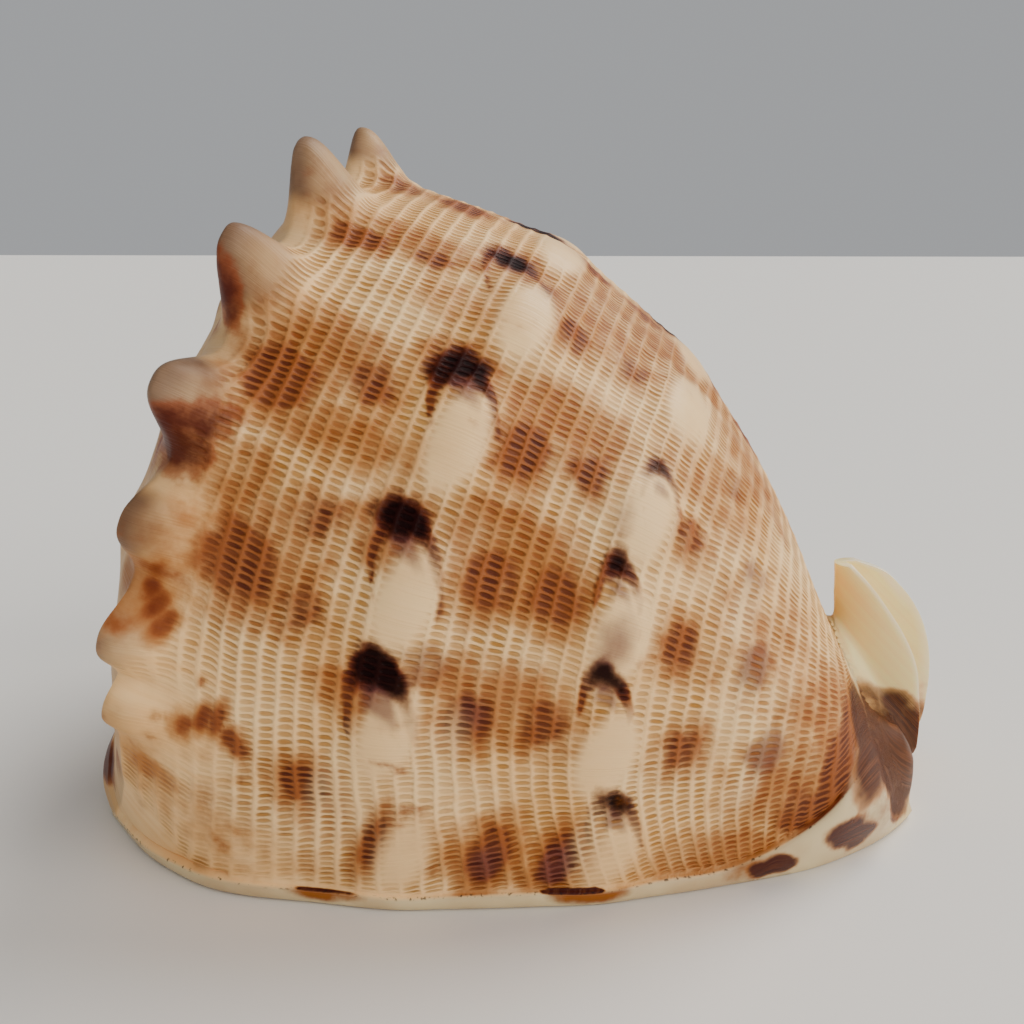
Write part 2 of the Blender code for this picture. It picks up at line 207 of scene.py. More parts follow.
# The aperture: X, distance lipward of the axis plane, half width, depth
APERTURE = in_metres(
    (MM, MM, MM, MM),
    (-70, 30, 3.2, 14), (-52, 35.5, 5, 22), (-25, 39, 6.5, 26), (5, 40, 7, 26), (33, 37, 6.8, 24),
    (58, 30, 6, 18), (78, 20, 5.5, 15), (93, 8, 5.5, 15), (102, 1, 7, 19), (115, 0, 8, 24),
)
APERTURE_BELOW = 0.004
APERTURE_RINGS = 110
APERTURE_SECTION = ((-1, -1), (1, -1), (1.0, 0.12), (1.1, 0.5), (0.7, 0.9), (0, 1), (-0.7, 0.9), (-1.1, 0.5),
                    (-1.0, 0.12))
LIP_TEETH = (-0.038, -0.024, -0.010, 0.004, 0.018, 0.032, 0.045)
TOOTH_POWER = 2.5
LIP_TOOTH_HALF_LENGTH = 0.0042
LIP_TOOTH_HEIGHT = 0.0022
FOLDS = (-0.034, -0.020, -0.009, 0.000, 0.009, 0.018, 0.027, 0.037, 0.048, 0.060)
FOLD_HALF_LENGTH = 0.0026
FOLD_HEIGHT = 0.0018

# The chamber that coils round the pillar
CHAMBER_FIRST_TURN = 30.0
CHAMBER_LAST_TURN = 363.0
CHAMBER_STEPS = 33
CHAMBER_POINTS = 26
CHAMBER_RUN = (0.002, 0.158)
CHAMBER_LAST_RUN = (0.003, 0.135)
CHAMBER_SQUARENESS = 0.35
WALL = 0.0048
GROUND_WALL = 0.0066
PILLAR = 0.012
PILLAR_TAPER = 0.75
CHAMBER_LEAST = 0.001
STEEPEST = 0.05

# The net: spiral lanes of pits between cords
LANE_PITCH = 0.0039
LANE_ROWS = 3
LANE_DRIFT = ((40, 0.36), (50, 0.29), (60, 0.215), (67, 0.15), (74, 0.095), (84, 0.038), (94, 0.0),
              (104, -0.028), (118, -0.045), (141, -0.038), (180, -0.020), (230, -0.04), (270, -0.07),
              (330, -0.10))
DRIFT_HOLDS = 0.080
TURN_HOLDS = 0.150
LANE_ROUNDS = 10
CORD_HEIGHT = 0.00014
WAVE_HEIGHT = 0.00022
WAVES_ROUND = 31
WAVE_TWIST = 60
RELIEF_FADES = 0.150
RELIEF_ENDS = 0.165
PIT_ROW = 0.00152
SLANT_MOST = 1.6
GROWTH_TURN = 104.0
GROWTH_BEND = 5.84
GROWTH_BEND_RUN = 0.026
GROWTH_MOST = 0.72
GROWTH_LEAST_STEP = 1e-4

# Facets
FLANK_COLUMNS = 290
GROUND_COLUMNS = 30
SHOULDER_LANES = 6
SHOULDER_ROWS = 36
SPIRE_FINE_RINGS = 16
SPIRE_FINE_STEP = 0.0095
SPIRE_RINGS = 26
SPIRE_TIP_SHARE = 0.03
HORN_CROWDING = 1.6
HORN_CROWD_REACH = 0.009
STATIONS = 140
OUTLINE_POINTS = 220
COLUMN_SEARCH_POINTS = 4000
LAST_ROW_SHARE = 0.4

# What each point of the skin carries to the material
FIELDS = ("lane", "growth", "pits", "slant", "net", "dark", "brown", "tan", "violet", "pale", "gloss", "bar",
          "gap", "horn", "canal", "base", "stain", "lipstain", "rim")
INNER = "inner"

# Places of colour on the body: run, turn, half run, half turn as a distance, strength
SPOT = (MM, 1, MM, MM, 1)
# Dark purple-brown spots over the knobs
DARK_SPOTS = in_metres(
    SPOT,
    (53, 84, 5, 3.4, 0.95), (45.8, 105.5, 5.2, 4.2, 1.05), (45.6, 129.5, 5.6, 3.6, 1.15),
    (42.8, 127, 4.4, 3.4, 0.8), (46, 154, 5.2, 4, 1.05),
)
# Arches of brown over the knobs' tops: run, turn, half run and half turn of the arch, strength, darkness
ARCHES = in_metres(
    (MM, 1, MM, MM, 1, 1),
    (58, 76.5, 7.4, 12, 1.15, 1.1), (51.8, 97.5, 7.2, 12, 1, 1.1), (50.2, 121, 7, 12, 1, 1.1),
    (49.5, 147, 7.2, 11, 0.8, 1), (98.5, 89, 5.4, 9, 1.1, 0.95), (111.5, 69.5, 5.8, 8.8, 1, 0.8),
    (92.2, 104.5, 4.8, 9, 1, 0.85), (93.5, 121, 4.6, 9, 0.9, 0.75),
)
ARCH_TILT = 0.70
ARCH_THIN = 0.10
ARCH_THICK = 0.24
ARCH_LEGS = (-0.85, 0.1)
ARCH_DARK_POWER = 1.6
ARCH_VIOLET_PLACE = 0.52
ARCH_VIOLET_WIDTH = 0.30
# Where the net is faint: run, turn, half run, half turn as a distance, strength
FAINT_NET = in_metres(
    SPOT,
    (2, 84, 15, 30, 0.95), (8, 62, 26, 18, 0.9), (34, 50, 26, 10, 0.75), (20, 72, 12, 12, 0.5),
    (12, 34, 20, 19, 1.6),
)
# Red-brown spots on the net, each with a warm halo
BROWN_SPOTS = in_metres(
    SPOT,
    (14.3, 147, 6, 3.6, 0.95), (30.5, 147, 4.5, 3.4, 0.9), (13.1, 118, 7.5, 6.8, 1.05),
    (30.5, 122, 5, 5, 0.85), (19.3, 91, 8.5, 8.5, 1.05), (31.7, 101, 5, 5, 0.75), (34.8, 88, 5, 5, 0.7),
    (47.3, 64, 5.5, 4.5, 1.1), (5.6, 81.5, 2.4, 2.6, 1.05), (8.2, 80.2, 2.4, 3, 1.1), (11, 78.5, 2, 3, 1),
    (4, 76.5, 4.2, 3, 0.62), (6, 85, 8, 2.2, 0.8), (20.6, 64.9, 1.9, 3.2, 0.95),
    (23.7, 67.1, 1.5, 3.2, 1.1), (26.6, 67.8, 1.5, 3.6, 1.1), (30.4, 66.2, 2.2, 2.4, 1),
    (32.8, 65, 2, 2, 1), (35.7, 61.6, 1.1, 2.4, 0.75), (21.2, 72.3, 0.9, 1.4, 0.75),
    (64.1, 144, 4.5, 4.5, 0.85), (77.8, 145, 4, 4.5, 0.8), (63.5, 121, 5.5, 5.5, 1.05),
    (77.1, 122, 4.5, 5, 0.9), (66.6, 102, 5.5, 5.8, 1.05), (79.6, 103, 5, 5.2, 1),
    (73.4, 82, 5.8, 5.5, 1.05), (87.7, 85, 5, 5.5, 0.95), (88.4, 62, 4.2, 7.2, 1.25),
    (102.9, 64, 4, 7.2, 1.15), (101.4, 120, 4, 4.5, 0.75), (107, 103, 4.5, 5, 0.85),
    (65.2, 59.5, 2.4, 6.8, 1.2), (116.3, 87, 4.5, 4.8, 0.85),
)
# Warm tan patches without a dark middle
TAN_PATCHES = in_metres(
    SPOT,
    (16.2, 54, 9, 4.5, 0.9), (12, 124, 16, 6, 0.7), (30, 113, 20, 8, 0.8), (22, 96, 18, 12, 0.8),
    (42, 140, 18, 8, 0.6), (27, 150, 26, 7, 0.8), (69, 150, 22, 12, 0.8), (69, 127, 16, 11, 0.9),
    (70, 107, 17, 10, 0.9), (78, 86, 20, 9, 0.9), (50, 80, 10, 6, 0.9), (45, 103, 12, 8, 0.9),
    (104, 133, 18, 14, 0.7), (125, 110, 20, 16, 0.6), (145, 84, 18, 12, 0.9), (148, 100, 14, 12, 0.8),
    (92, 62, 24, 8, 0.7), (50, 60, 14, 8, 0.6), (85, 160, 30, 12, 0.8), (115, 150, 18, 16, 0.7),
    (140, 66, 20, 11, 0.9), (4, 81, 10, 9, 0.9), (30, 52, 34, 20, 0.46), (15, 100, 10, 12, 0.8),
    (19, 90, 12, 10, 1), (20, 125, 18, 9, 0.9),
)
# Violet-grey shadows beside the knobs
VIOLET_PATCHES = in_metres(
    SPOT,
    (61, 88, 5, 6, 0.7), (94, 100, 4.5, 7.5, 0.8), (86, 118, 4, 8, 0.6), (134.4, 90, 5, 6, 1),
    (124.4, 104, 4.5, 6, 0.9), (119.4, 120, 4.5, 5.5, 0.8), (109, 136, 4.5, 5.5, 0.7), (56, 150, 5, 5, 0.6),
    (88.6, 61, 4, 6.4, 0.9), (102.9, 63, 3.8, 6.4, 1), (73.4, 83, 4.4, 5, 0.8),
)
# Pale streaks on the net
PALE_PATCHES = in_metres(
    SPOT,
    (70, 72, 6, 15, 0.8), (56, 66, 7, 16, 1), (108, 72, 5, 15, 0.9), (133, 84, 4, 8, 0.8),
    (124, 98, 3.5, 8, 0.8), (118, 113, 3.5, 8, 0.8),
)
# Spots placed in space: X, Y, Z, half sizes along them, strength
PLACED_SPOT = (MM, MM, MM, MM, MM, MM, 1)
HORN_STAINS = in_metres(
    PLACED_SPOT,
    (-52.2, -56, 130, 3.6, 7, 8.5, 0.85), (-60, -69, 101.2, 7.5, 12, 7.5, 0.95),
    (-55, -70, 104, 8, 11, 5.2, 0.75), (-40, -40, 150, 2.6, 7, 8, 0.45),
    (-19.5, -76.1, 37.4, 3, 6, 1, 0.46), (-16, -75, 35.2, 2.8, 6, 1.1, 0.42),
    (-20, -73.8, 28.3, 1.4, 6, 1.2, 0.42), (-16, -73.8, 26.5, 3.4, 6, 0.8, 0.34),
    (-18.5, -73.6, 22.5, 3, 6, 0.8, 0.32), (-98.5, -30, 14, 11, 16, 5.2, 1.1),
)
CORNER_BROWN = in_metres(
    PLACED_SPOT,
    (78, -47.5, 22, 7, 15, 9.5, 1.3), (72, -51.5, 15.5, 7, 12, 5.6, 1.1), (81.5, -39, 29, 5, 12, 7, 1.2),
    (66, -54, 17, 4.5, 12, 7, 0.7),
)
CANAL_BASE = in_metres(
    PLACED_SPOT,
    (90.5, -14, 23, 6.5, 10, 5.2, 1.2), (84, -33, 27, 4, 10, 6, 1.1), (85.5, -38, 21.5, 5, 12, 6, 1.2),
    (96, -13, 16, 7, 11, 6, 1.2), (96, -22, 12, 9, 13, 7, 1.3), (104, -9, 13, 5, 10, 9, 1.3),
    (83.5, -45, 18, 4, 10, 4, 0.8), (93.5, -27, 20.5, 9, 13, 7.5, 1.3), (98.5, -12, 21.5, 6, 10, 5, 1.1),
    (85.6, -29, 29, 5.6, 12, 7.5, 1.25),
)
LIP_SPOTS = in_metres(
    PLACED_SPOT,
    (63.5, -54, 4.2, 4.2, 8, 2.6, 1.3), (60, -56, 3.6, 4, 8, 2.2, 1.2), (79, -46.5, 9, 5, 9, 4, 1.4),
    (82.8, -44, 6.2, 4.8, 9, 3.6, 1.3), (95.5, -31, 9.8, 4, 9, 5, 1.4),
)
LIP_STAINS = in_metres(
    PLACED_SPOT,
    (-35, -69, 3.5, 7.8, 8, 2.2, 0.9), (21.5, -66.8, 3, 8.2, 8, 2.2, 1), (56, -57, 4, 6, 8, 3, 0.6),
    (89, -39, 11, 6, 9, 6, 0.5),
)
# How the rows of spots go on over the back and the far side
HIDDEN_TURNS = (172, 196, 220, 244, 267, 290, 312)
HIDDEN_RUNS = (0.0140, 0.0300, 0.0640, 0.0780, 0.1030, 0.1160)
HIDDEN_DARK_RUNS = (0.0470, 0.0900)
# Brown spots on the spire, by run before the shoulder and turn
SPIRE_SPOT_RUNS = (-0.0100, -0.0240, -0.0400)
SPIRE_SPOT_TURNS = (14, 52, 97, 133, 175, 214, 252, 296, 331)
# Those spots as run, turn, half run, half turn, strength, and how far each of these may stray
HIDDEN_SEED = 7
HIDDEN_BROWN = in_metres(SPOT, (0, 0, 5.5, 5.2, 0.92), (1.2, 1.5, 0.8, 0, 0.1))
HIDDEN_DARK = in_metres(SPOT, (0, 8, 6.8, 5.6, 1.1), (1, 0, 0, 0, 0.1))
SPIRE_BROWN = in_metres(SPOT, (0, 0, 3.6, 5.2, 0.8), (1.6, 6, 0, 0, 0.1))
HALO = 1.7
HALO_SHARE = 0.95
# Where a field begins and is full, by run, by gap from the crease or from the far edge, or by a horn's lift
NET_SHOULDER = (0.0010, 0.0070)
NET_LIP = (0.0002, 0.0030)
NET_END = (0.1570, 0.1605)
NET_FAR = (0.0100, 0.0160)
NET_HORN = (0.0030, 0.0080)
# The horns' grey, darkened as painted shade: set in by a horn's lift, weaker on the horns' lit body side, and
# laid in a band along the shoulder
HORN_COLOUR = (0.0016, 0.0070)
HORN_BODY_SIDE = (0.0015, 0.0075)
SHADED_SHOULDER = (-0.002, 0.010)
SHADED_SHOULDER_SHARE = 0.40
LIP_GLOSS = (-0.0006, 0.0004)
SHIELD_GLOSS = (0.0045, 0.0075)
END_GLOSS = (0.1580, 0.1615)
CORNER_TAN = 1.3

# Dark lines in the lip's crease: two Xs, how far each reaches over the crease and under it, and strength
LIP_BARS = ((-0.0425, -0.0275, 0.0003, 0.0004, 0.9), (0.0105, 0.0255, 0.0013, 0.0004, 1.2),
            (-0.0180, 0.0020, 0.0002, 0.0002, 0.4), (0.0270, 0.0440, 0.0002, 0.0002, 0.4))
BAR_EDGE = 0.0006
BAR_TAPER = 3
BAR_ENDS = (0.0, 0.35)

# Colours
CREAM = shade(252, 210, 150)
PINK_CREAM = shade(238, 184, 118)
TAN = shade(164, 90, 18)
ORANGE_BROWN = shade(132, 54, 14)
RED_BROWN = shade(96, 24, 4)
PURPLE_BROWN = shade(24, 2, 4)
PIT_PALE = shade(164, 106, 28)
PIT_TAN = shade(128, 56, 1)
PIT_BROWN = shade(64, 8, 1)
PIT_DARK = shade(14, 0, 1)
VIOLET = shade(104, 56, 58)
# The horns' own grey-mauve darkened as painted shade, in a darker and a lighter tone that are mottled
# together
HORN_SHADED_GREY = shade(80, 55, 46)
HORN_LIGHTER_SHADED_GREY = shade(124, 98, 82)
HORN_STAIN = shade(74, 16, 2)
LIP_CREAM = shade(217, 195, 150)
LIP_TAN = shade(197, 168, 126)
LIP_STAIN = shade(142, 78, 18)
LIP_BROWN = shade(62, 14, 2)
CANAL_CREAM = shade(255, 236, 168)
CANAL_PINK = shade(252, 214, 150)
# A painted highlight along the canal's edges
CANAL_EDGE_HIGHLIGHT = shade(255, 236, 204)
CANAL_BROWN = shade(60, 22, 12)
CANAL_STREAK = shade(120, 66, 34)
INSIDE_ORANGE = shade(214, 120, 44)
# Dark brown of the specks along the lip's crease
CREASE_SPECK_COLOUR = shade(40, 14, 4)

# Areas of colour: the field that each reads, where it begins and is full, and how ragged its edge is
AREAS = {
    "tan": ("tan", 0.20, 0.90, 0.9), "brown": ("brown", 0.28, 0.80, 0.9),
    "bare_brown": ("brown", 0.60, 1.10, 0.9), "dark": ("dark", 0.36, 0.92, 0.9),
    "dark_pit": ("dark", 0.10, 0.50, 0.9), "dark_rim": ("dark", 0.15, 0.66, 0.9),
    "violet": ("violet", 0.30, 0.95, 0.5), "stain": ("stain", 0.10, 0.95, 0.9),
    "lip_stain": ("lipstain", 0.15, 0.85, 0.9), "bar": ("bar", 0.05, 1.15, 1.0),
    "base": ("base", 0.0, 1.05, 0.55),
}
# Steps within an area: the area, where the step begins and is full
AREA_STEPS = {
    "stain_rim": ("stain", 0.0, 0.5), "stain_core": ("stain", 0.35, 1.0), "bar_rim": ("bar", 0.0, 0.50),
    "bar_core": ("bar", 0.20, 0.85), "base_rim": ("base", 0.0, 0.45), "base_core": ("base", 0.25, 0.90),
}
PALE_EDGE = (0.15, 0.85)
NET_EDGE = (0.25, 0.95)
NET_NOISE = (160.0, 2.0)
NET_SHARE = 0.35
RAGGED_NOISE = (210.0, 4.0)
SLOW_NOISE = (60.0, 3.0)
SLOW_SHARE = 0.5
# Colours laid over the ridges and the pits of the net: area, strength, colour
RIDGE_LAYERS = (
    ("tan", 0.80, TAN), ("brown", 0.66, ORANGE_BROWN), ("bare", 0.75, RED_BROWN), ("pale", 0.75, CREAM),
    ("dark_rim", 0.80, RED_BROWN), ("violet", 0.70, VIOLET), ("dark", 0.96, PURPLE_BROWN),
)
HOLLOW_LAYERS = (("tan", 1.0, PIT_TAN), ("brown", 1.0, PIT_BROWN), ("dark_pit", 1.0, PIT_BROWN),
                 ("dark", 1.0, PIT_DARK))
# Colours laid over the whole skin, in order, with the horns' grey darkened as painted shade and a painted
# highlight along the canal's edges. A name stands for a colour that the material mixes.
SKIN_LAYERS = (
    ("horn", 0.9, "horn"), ("stain_rim", 0.75, ORANGE_BROWN), ("stain_core", 0.92, HORN_STAIN),
    ("gloss", 1.0, "lip"), ("lip_stain", 1.0, LIP_STAIN), ("bar_rim", 0.7, TAN),
    ("bar_core", 1.0, "lip_dark"), ("canal", 1.0, "canal"), ("rim", 0.8, CANAL_EDGE_HIGHLIGHT), ("base_rim", 0.7, TAN),
    ("base_core", 0.94, "base_dark"), ("crease_specks", 0.8, CREASE_SPECK_COLOUR), ("inner", 0.9, INSIDE_ORANGE),
)
# Mottling: scale, detail, where it begins and is full
PATCHES = {
    "ridge": (38.0, 3.0, 0.35, 0.68), "deep": (75.0, 3.0, 0.20, 0.60), "horn": (70.0, 3.0, 0.35, 0.7),
    "lip": (45.0, 3.0, 0.40, 0.70), "specks": (900.0, 2.0, 0.56, 0.66),
}
# Streaks along the growth lines: scale over lines and lanes, detail, where they begin and are full
STREAKS = {"bands": (0.55, 0.10, 2.0, 0.35, 0.75), "dark": (1.7, 0.3, 3.0, 0.40, 0.72),
           "arcs": (0.35, 0.0, 3.0, 0.30, 0.75)}
BANDS_SHARE = 0.5
LIP_STREAKS_SHARE = 0.45
BASE_STREAKS_SHARE = 0.8
ARCS_SHARE = 0.6
# How far from the lip's crease the dark specks reach
CREASE_SPECK_REACH = (0.0001, 0.0006)

# The pits as the material draws them. Pairs hold the values where a random number is 0 and where it is 1.
LANE_WOBBLE_NOISE = (140.0, 2.0)
LANE_WOBBLE = 0.34
ROW_JITTER = 0.7
ROW_SWAY_NOISE = (95.0, 2.0)
ROW_SWAY = 1.3
LANE_SEED = 17.3
PIT_SEED = 31.7
LANE_NARROWING = (1.35, 1.85)
LANE_POWER = 2.8
PIT_NARROWING = (1.40, 1.70)
PIT_POWER = 2.2
PIT_STRENGTH = (0.65, 1.0)
PIT_EDGE = (0.03, 0.36)
PIT_COLOUR_SHARE = 0.9
CORD_EDGE = (0.30, 0.5)
FAINT_PITS = (0.45, 1.0)
TAN_DEEPENS = 0.85

# Surface
ROUGHNESS = 0.44
ROUGHNESS_CHANGES = {"shine": -0.18, "pale": -0.16, "pit": 0.12}
SPECULAR = 0.16
SPECULAR_CHANGES = {"shine": 0.08, "dark": -0.11}
SUBSURFACE = (0.06, 0.36)
SUBSURFACE_RADIUS = (0.004, 0.0025, 0.0015)
GROWTH_LINES = (2.6, 0.12, 2.0)
LINE_HEIGHT = (0.45, 0.10)
CORD_SHARE = 0.35
BUMP_DISTANCE = 0.00046
BUMP_STRENGTH = 0.9

# The camera, as the photograph was taken
CAMERA_PLACE = (0.0195, -0.2735, 0.140)
CAMERA_TURN = radians(4.0)
CAMERA_PITCH = radians(14.38)
CAMERA_LENS = 38.67
CAMERA_SENSOR = 36.0
CAMERA_CLIP = 0.01

# Floor and lights: place, strength, width in degrees, colour
FLOOR_SIZE = 12.0
FLOOR_LEVEL = -0.0002
FLOOR_COLOUR = (0.80, 0.77, 0.72, 1.0)
FLOOR_ROUGHNESS = 0.7
SUNS = {
    "window": ((0.70, 0.60, 1.05), 2.4, 40.0, (1.0, 0.99, 0.97)),
    "side": ((1.1, -0.60, 0.55), 1.9, 50.0, (1.0, 0.98, 0.95)),
    "front": ((0.1, -1.0, 0.5), 0.30, 70.0, (1.0, 0.97, 0.93)),
}
SKY_COLOUR = (0.95, 0.97, 1.0, 1.0)
SKY_STRENGTH = 0.41


def smooth(points, x):
    """Reads a smooth curve through the given pairs."""
    table = np.array(points, dtype=float)
    xs, ys = table[:, 0], table[:, 1]
    slopes = np.gradient(ys, xs)
    x = np.clip(x, xs[0], xs[-1])
    i = np.clip(np.searchsorted(xs, x) - 1, 0, len(xs) - 2)
    width = xs[i + 1] - xs[i]
    t = (x - xs[i]) / width
    start = (2 * t**3 - 3 * t**2 + 1) * ys[i] + (t**3 - 2 * t**2 + t) * width * slopes[i]
    end = (3 * t**2 - 2 * t**3) * ys[i + 1] + (t**3 - t**2) * width * slopes[i + 1]
    return start + end


def step_up(low, high, x):
    """0 below low, 1 above high, and a soft step between them."""
    t = np.clip((x - low) / (high - low), 0, 1)
    return t * t * (3 - 2 * t)


def between(amount, ends):
    """The first end where the amount is 0, the second where it is 1."""
    return amount * (ends[1] - ends[0]) + ends[0]


def ground_depth(run):
    """Distance from the axis down to the ground, square to the axis."""
    return (AXIS_START_Z - run * sin(AXIS_SLOPE)) / cos(AXIS_SLOPE)


def half_outline(half_width, draw_in, full_height):
    quarter = np.linspace(0, pi / 2, OUTLINE_POINTS)
    low = np.linspace(0, WIDEST, OUTLINE_POINTS)[:-1]
    low_out = half_width * (1 - draw_in * (1 - low / WIDEST) ** DRAW_IN_POWER)
    high_out = half_width * np.cos(quarter) ** ROUNDNESS
    high = WIDEST + (1 - WIDEST) * np.sin(quarter) ** ROUNDNESS
    return np.concatenate([low_out, high_out]), np.concatenate([low, high]) * full_height


def lip_roll(level):
    """How far the rolled lip stands out at a height, given as a share of the lip band's height."""
    bulge = np.clip(1 - np.abs((level - LIP_BULGE_LEVEL) / LIP_BULGE_HALF) ** 3, 0, 1)
    crease = np.exp(-(((level - CREASE_LEVEL) / CREASE_HALF) ** 2))
    return LIP_PROUD * bulge - LIP_CREASE * crease


def whorl_outline(run):
    """The whorl square to the axis, from the lip over the back to the far edge."""
    depth = ground_depth(run)
    full = depth + smooth(BACK, run)
    lip_out, lip_height = half_outline(smooth(LIP_SIDE, run), smooth(LIP_DRAW_IN, run), full)
    far_out, far_height = half_outline(smooth(FAR_SIDE, run), smooth(FAR_DRAW_IN, run), full)
    lip_out = lip_out + lip_roll(lip_height / smooth(LIP_BAND, run))
    far_out = far_out + SHIELD_REACH * np.exp(-((far_height / SHIELD_THICKNESS) ** 3))
    out = np.concatenate([lip_out, -far_out[::-1][1:]])
    height = np.concatenate([lip_height, far_height[::-1][1:]])
    return out, height - depth


def turn_of(out, height):
    return np.degrees(np.arctan2(out, -height)) % 360


def travelled(out, height):
    return np.r_[0, np.cumsum(np.hypot(np.diff(out), np.diff(height)))]


def column_shares():
    """Shares of the outline's length where the columns stand, closer together at the horns."""
    out, height = whorl_outline(HORN_STATION)
    length = travelled(out, height)
    turns = turn_of(out, height)
    centres = np.array([np.interp(horn[0], turns, length) for horn in HORNS])
    places = np.linspace(0, length[-1], COLUMN_SEARCH_POINTS)
    nearest = np.min(np.abs(places[:, None] - centres), axis=1)
    crowding = 1 + HORN_CROWDING * np.exp(-((nearest / HORN_CROWD_REACH) ** 4))
    filled = np.r_[0, np.cumsum((crowding[1:] + crowding[:-1]) / 2)]
    wanted = np.linspace(0, filled[-1], 2 * FLANK_COLUMNS - 1)
    return np.interp(wanted, filled, places) / length[-1]


def outline_table():
    """At many stations along the axis: out, height and distance from the lip's crease, for each column."""
    runs = np.linspace(0, BODY_LENGTH, STATIONS)
    shares = column_shares()
    table = []
    for run in runs:
        out, height = whorl_outline(run)
        length = travelled(out, height)
        total = length[-1]
        band = min(smooth(LIP_BAND, run), LIP_BAND_MOST * total)
        start = band * BAND_COLUMNS[-1]
        at = np.r_[band * np.array(BAND_COLUMNS[:-1]), start + (total - start) * shares]
        table.append(np.stack([np.interp(at, length, out), np.interp(at, length, height), at - band,
                               total - at], axis=1))
    return runs, np.array(table)


def run_at(lane_place, turn):
    """The run of a lane at a turn: the lanes drift towards the canal near the lip."""
    shoulder = np.interp(turn, [pair[0] for pair in SHOULDER], [pair[1] for pair in SHOULDER])
    drift = smooth(LANE_DRIFT, turn) * (1 - step_up(DRIFT_HOLDS, BODY_LENGTH, lane_place))
    return shoulder * (1 - lane_place / BODY_LENGTH) + lane_place * (1 + drift)


def read_columns(run, runs, table):
    columns = range(run.shape[1])
    return np.stack([np.interp(run[:, j], runs, table[:, j]) for j in columns], axis=1)


def lane_places():
    """Lane places of the rows, from the canal's end up to the shoulder."""
    step = LANE_PITCH / LANE_ROWS
    border = SHOULDER_LANES * LANE_PITCH
    body = np.arange(border, BODY_LENGTH - LAST_ROW_SHARE * step, step)[::-1]
    near = np.linspace(border, 0, SHOULDER_ROWS + 1)[1:]
    return np.r_[BODY_LENGTH, body, near], len(body) + 1


def to_world(run, out, height):
    return AXIS_START + run[..., None] * ALONG + out[..., None] * LIPWARD + height[..., None] * UP


def growth_of(run, turn):
    """Names the growth line through a place by its turn near the shoulder. Near the lip the lines bend."""
    bend = np.clip(GROWTH_BEND * (run - GROWTH_BEND_RUN), 0, GROWTH_MOST)
    return GROWTH_TURN + (turn - GROWTH_TURN) / np.where(turn < GROWTH_TURN, 1 - bend, 1)


def pit_count(grid):
    """How many pits lie between a place and the reference turn, and the slant of the rows across a lane."""
    points = to_world(grid["run"], grid["out"], grid["height"])
    steps = np.linalg.norm(np.diff(points, axis=1), axis=2)
    length = np.concatenate([np.zeros((len(points), 1)), np.cumsum(steps, axis=1)], axis=1)
    start = [np.interp(GROWTH_TURN, turn, far) for turn, far in zip(grid["turn"], length)]
    count = (length - np.array(start)[:, None]) / PIT_ROW
    growth = growth_of(grid["past"], grid["turn"])
    lanes = grid["lane"][:, 0]
    count_by_lane, count_by_column = np.gradient(count, lanes, np.arange(count.shape[1]))
    growth_by_lane, growth_by_column = np.gradient(growth, lanes, np.arange(count.shape[1]))
    steep = np.maximum(growth_by_column, GROWTH_LEAST_STEP)
    slant = count_by_lane - growth_by_lane / steep * count_by_column
    return count, np.clip(slant, -SLANT_MOST, SLANT_MOST)


def body_grid():
    """Rows by columns of the body's sides. A gap is the distance from the lip's crease or the far edge."""
    runs, table = outline_table()
    turns = turn_of(table[..., 0], table[..., 1])
    held = np.searchsorted(runs, TURN_HOLDS)
    turns[held:] = turns[held]
    places, body_rows = lane_places()
    run = np.repeat(places[:, None], table.shape[1], axis=1)
    for _ in range(LANE_ROUNDS):
        run = run_at(places[:, None], read_columns(run, runs, turns))
    out, height, gap, far_gap = (read_columns(run, runs, table[..., k]) for k in range(4))
    grid = {"run": run, "out": out, "height": height, "gap": gap, "far_gap": far_gap}
    grid["turn"] = read_columns(run, runs, turns)
    grid["past"] = run.copy()
    grid["lane"] = np.repeat(places[:, None] / LANE_PITCH, run.shape[1], axis=1)
    grid["pits"], grid["slant"] = pit_count(grid)
    return grid, body_rows


def close_on_ground(grid):
    """Adds the columns of the ground face, straight across from the far edge to the lip."""
    steps = np.linspace(0, 1, GROUND_COLUMNS + 2)[1:-1]
    for name, values in grid.items():
        first, last = values[:, :1], values[:, -1:]
        if name in ("gap", "far_gap"):
            across = np.hypot(grid["out"][:, :1] - grid["out"][:, -1:], 0)
            ground = -across * (1 - steps) if name == "gap" else -across * steps
            ground = np.minimum(ground, 0) + (first if name == "gap" else last)
        elif name == "turn":
            ground = (last - 360 + (first - last + 360) * steps) % 360
        else:
            ground = last + (first - last) * steps
        grid[name] = np.concatenate([values, ground], axis=1)
    return grid


def spire_relief(share, turn):
    """Sutures and the small knobs of the earlier whorls, as a rise towards the apex."""
    coil = np.log(np.maximum(share, SUTURE_LAST_SHARE)) / np.log(WHORL_GROWTH) + (turn - SUTURE_TURN) / 360
    part = coil % 1.0
    whole_turn = turn + 360.0 * np.floor(coil)
    beat = (0.5 + 0.5 * np.cos(np.radians(whole_turn) * SPIRE_KNOBS)) ** SPIRE_KNOB_POWER
    shoulder = np.exp(-(((part - SPIRE_KNOB_PLACE) / SPIRE_KNOB_WIDTH) ** 2))
    near = np.minimum(part, 1 - part)
    suture = np.exp(-((near / SUTURE_WIDTH) ** 2))
    first, width = RELIEF_FROM_SHOULDER
    size = np.clip((first - share) / width, 0, 1)
    first, width = RELIEF_FROM_APEX
    size = size * np.clip((share - first) / width, 0, 1)
    knobs = SPIRE_KNOB_HEIGHT * shoulder * between(beat, (SPIRE_KNOB_LEAST, 1.0))
    return size * (knobs - SUTURE_DEPTH * suture)


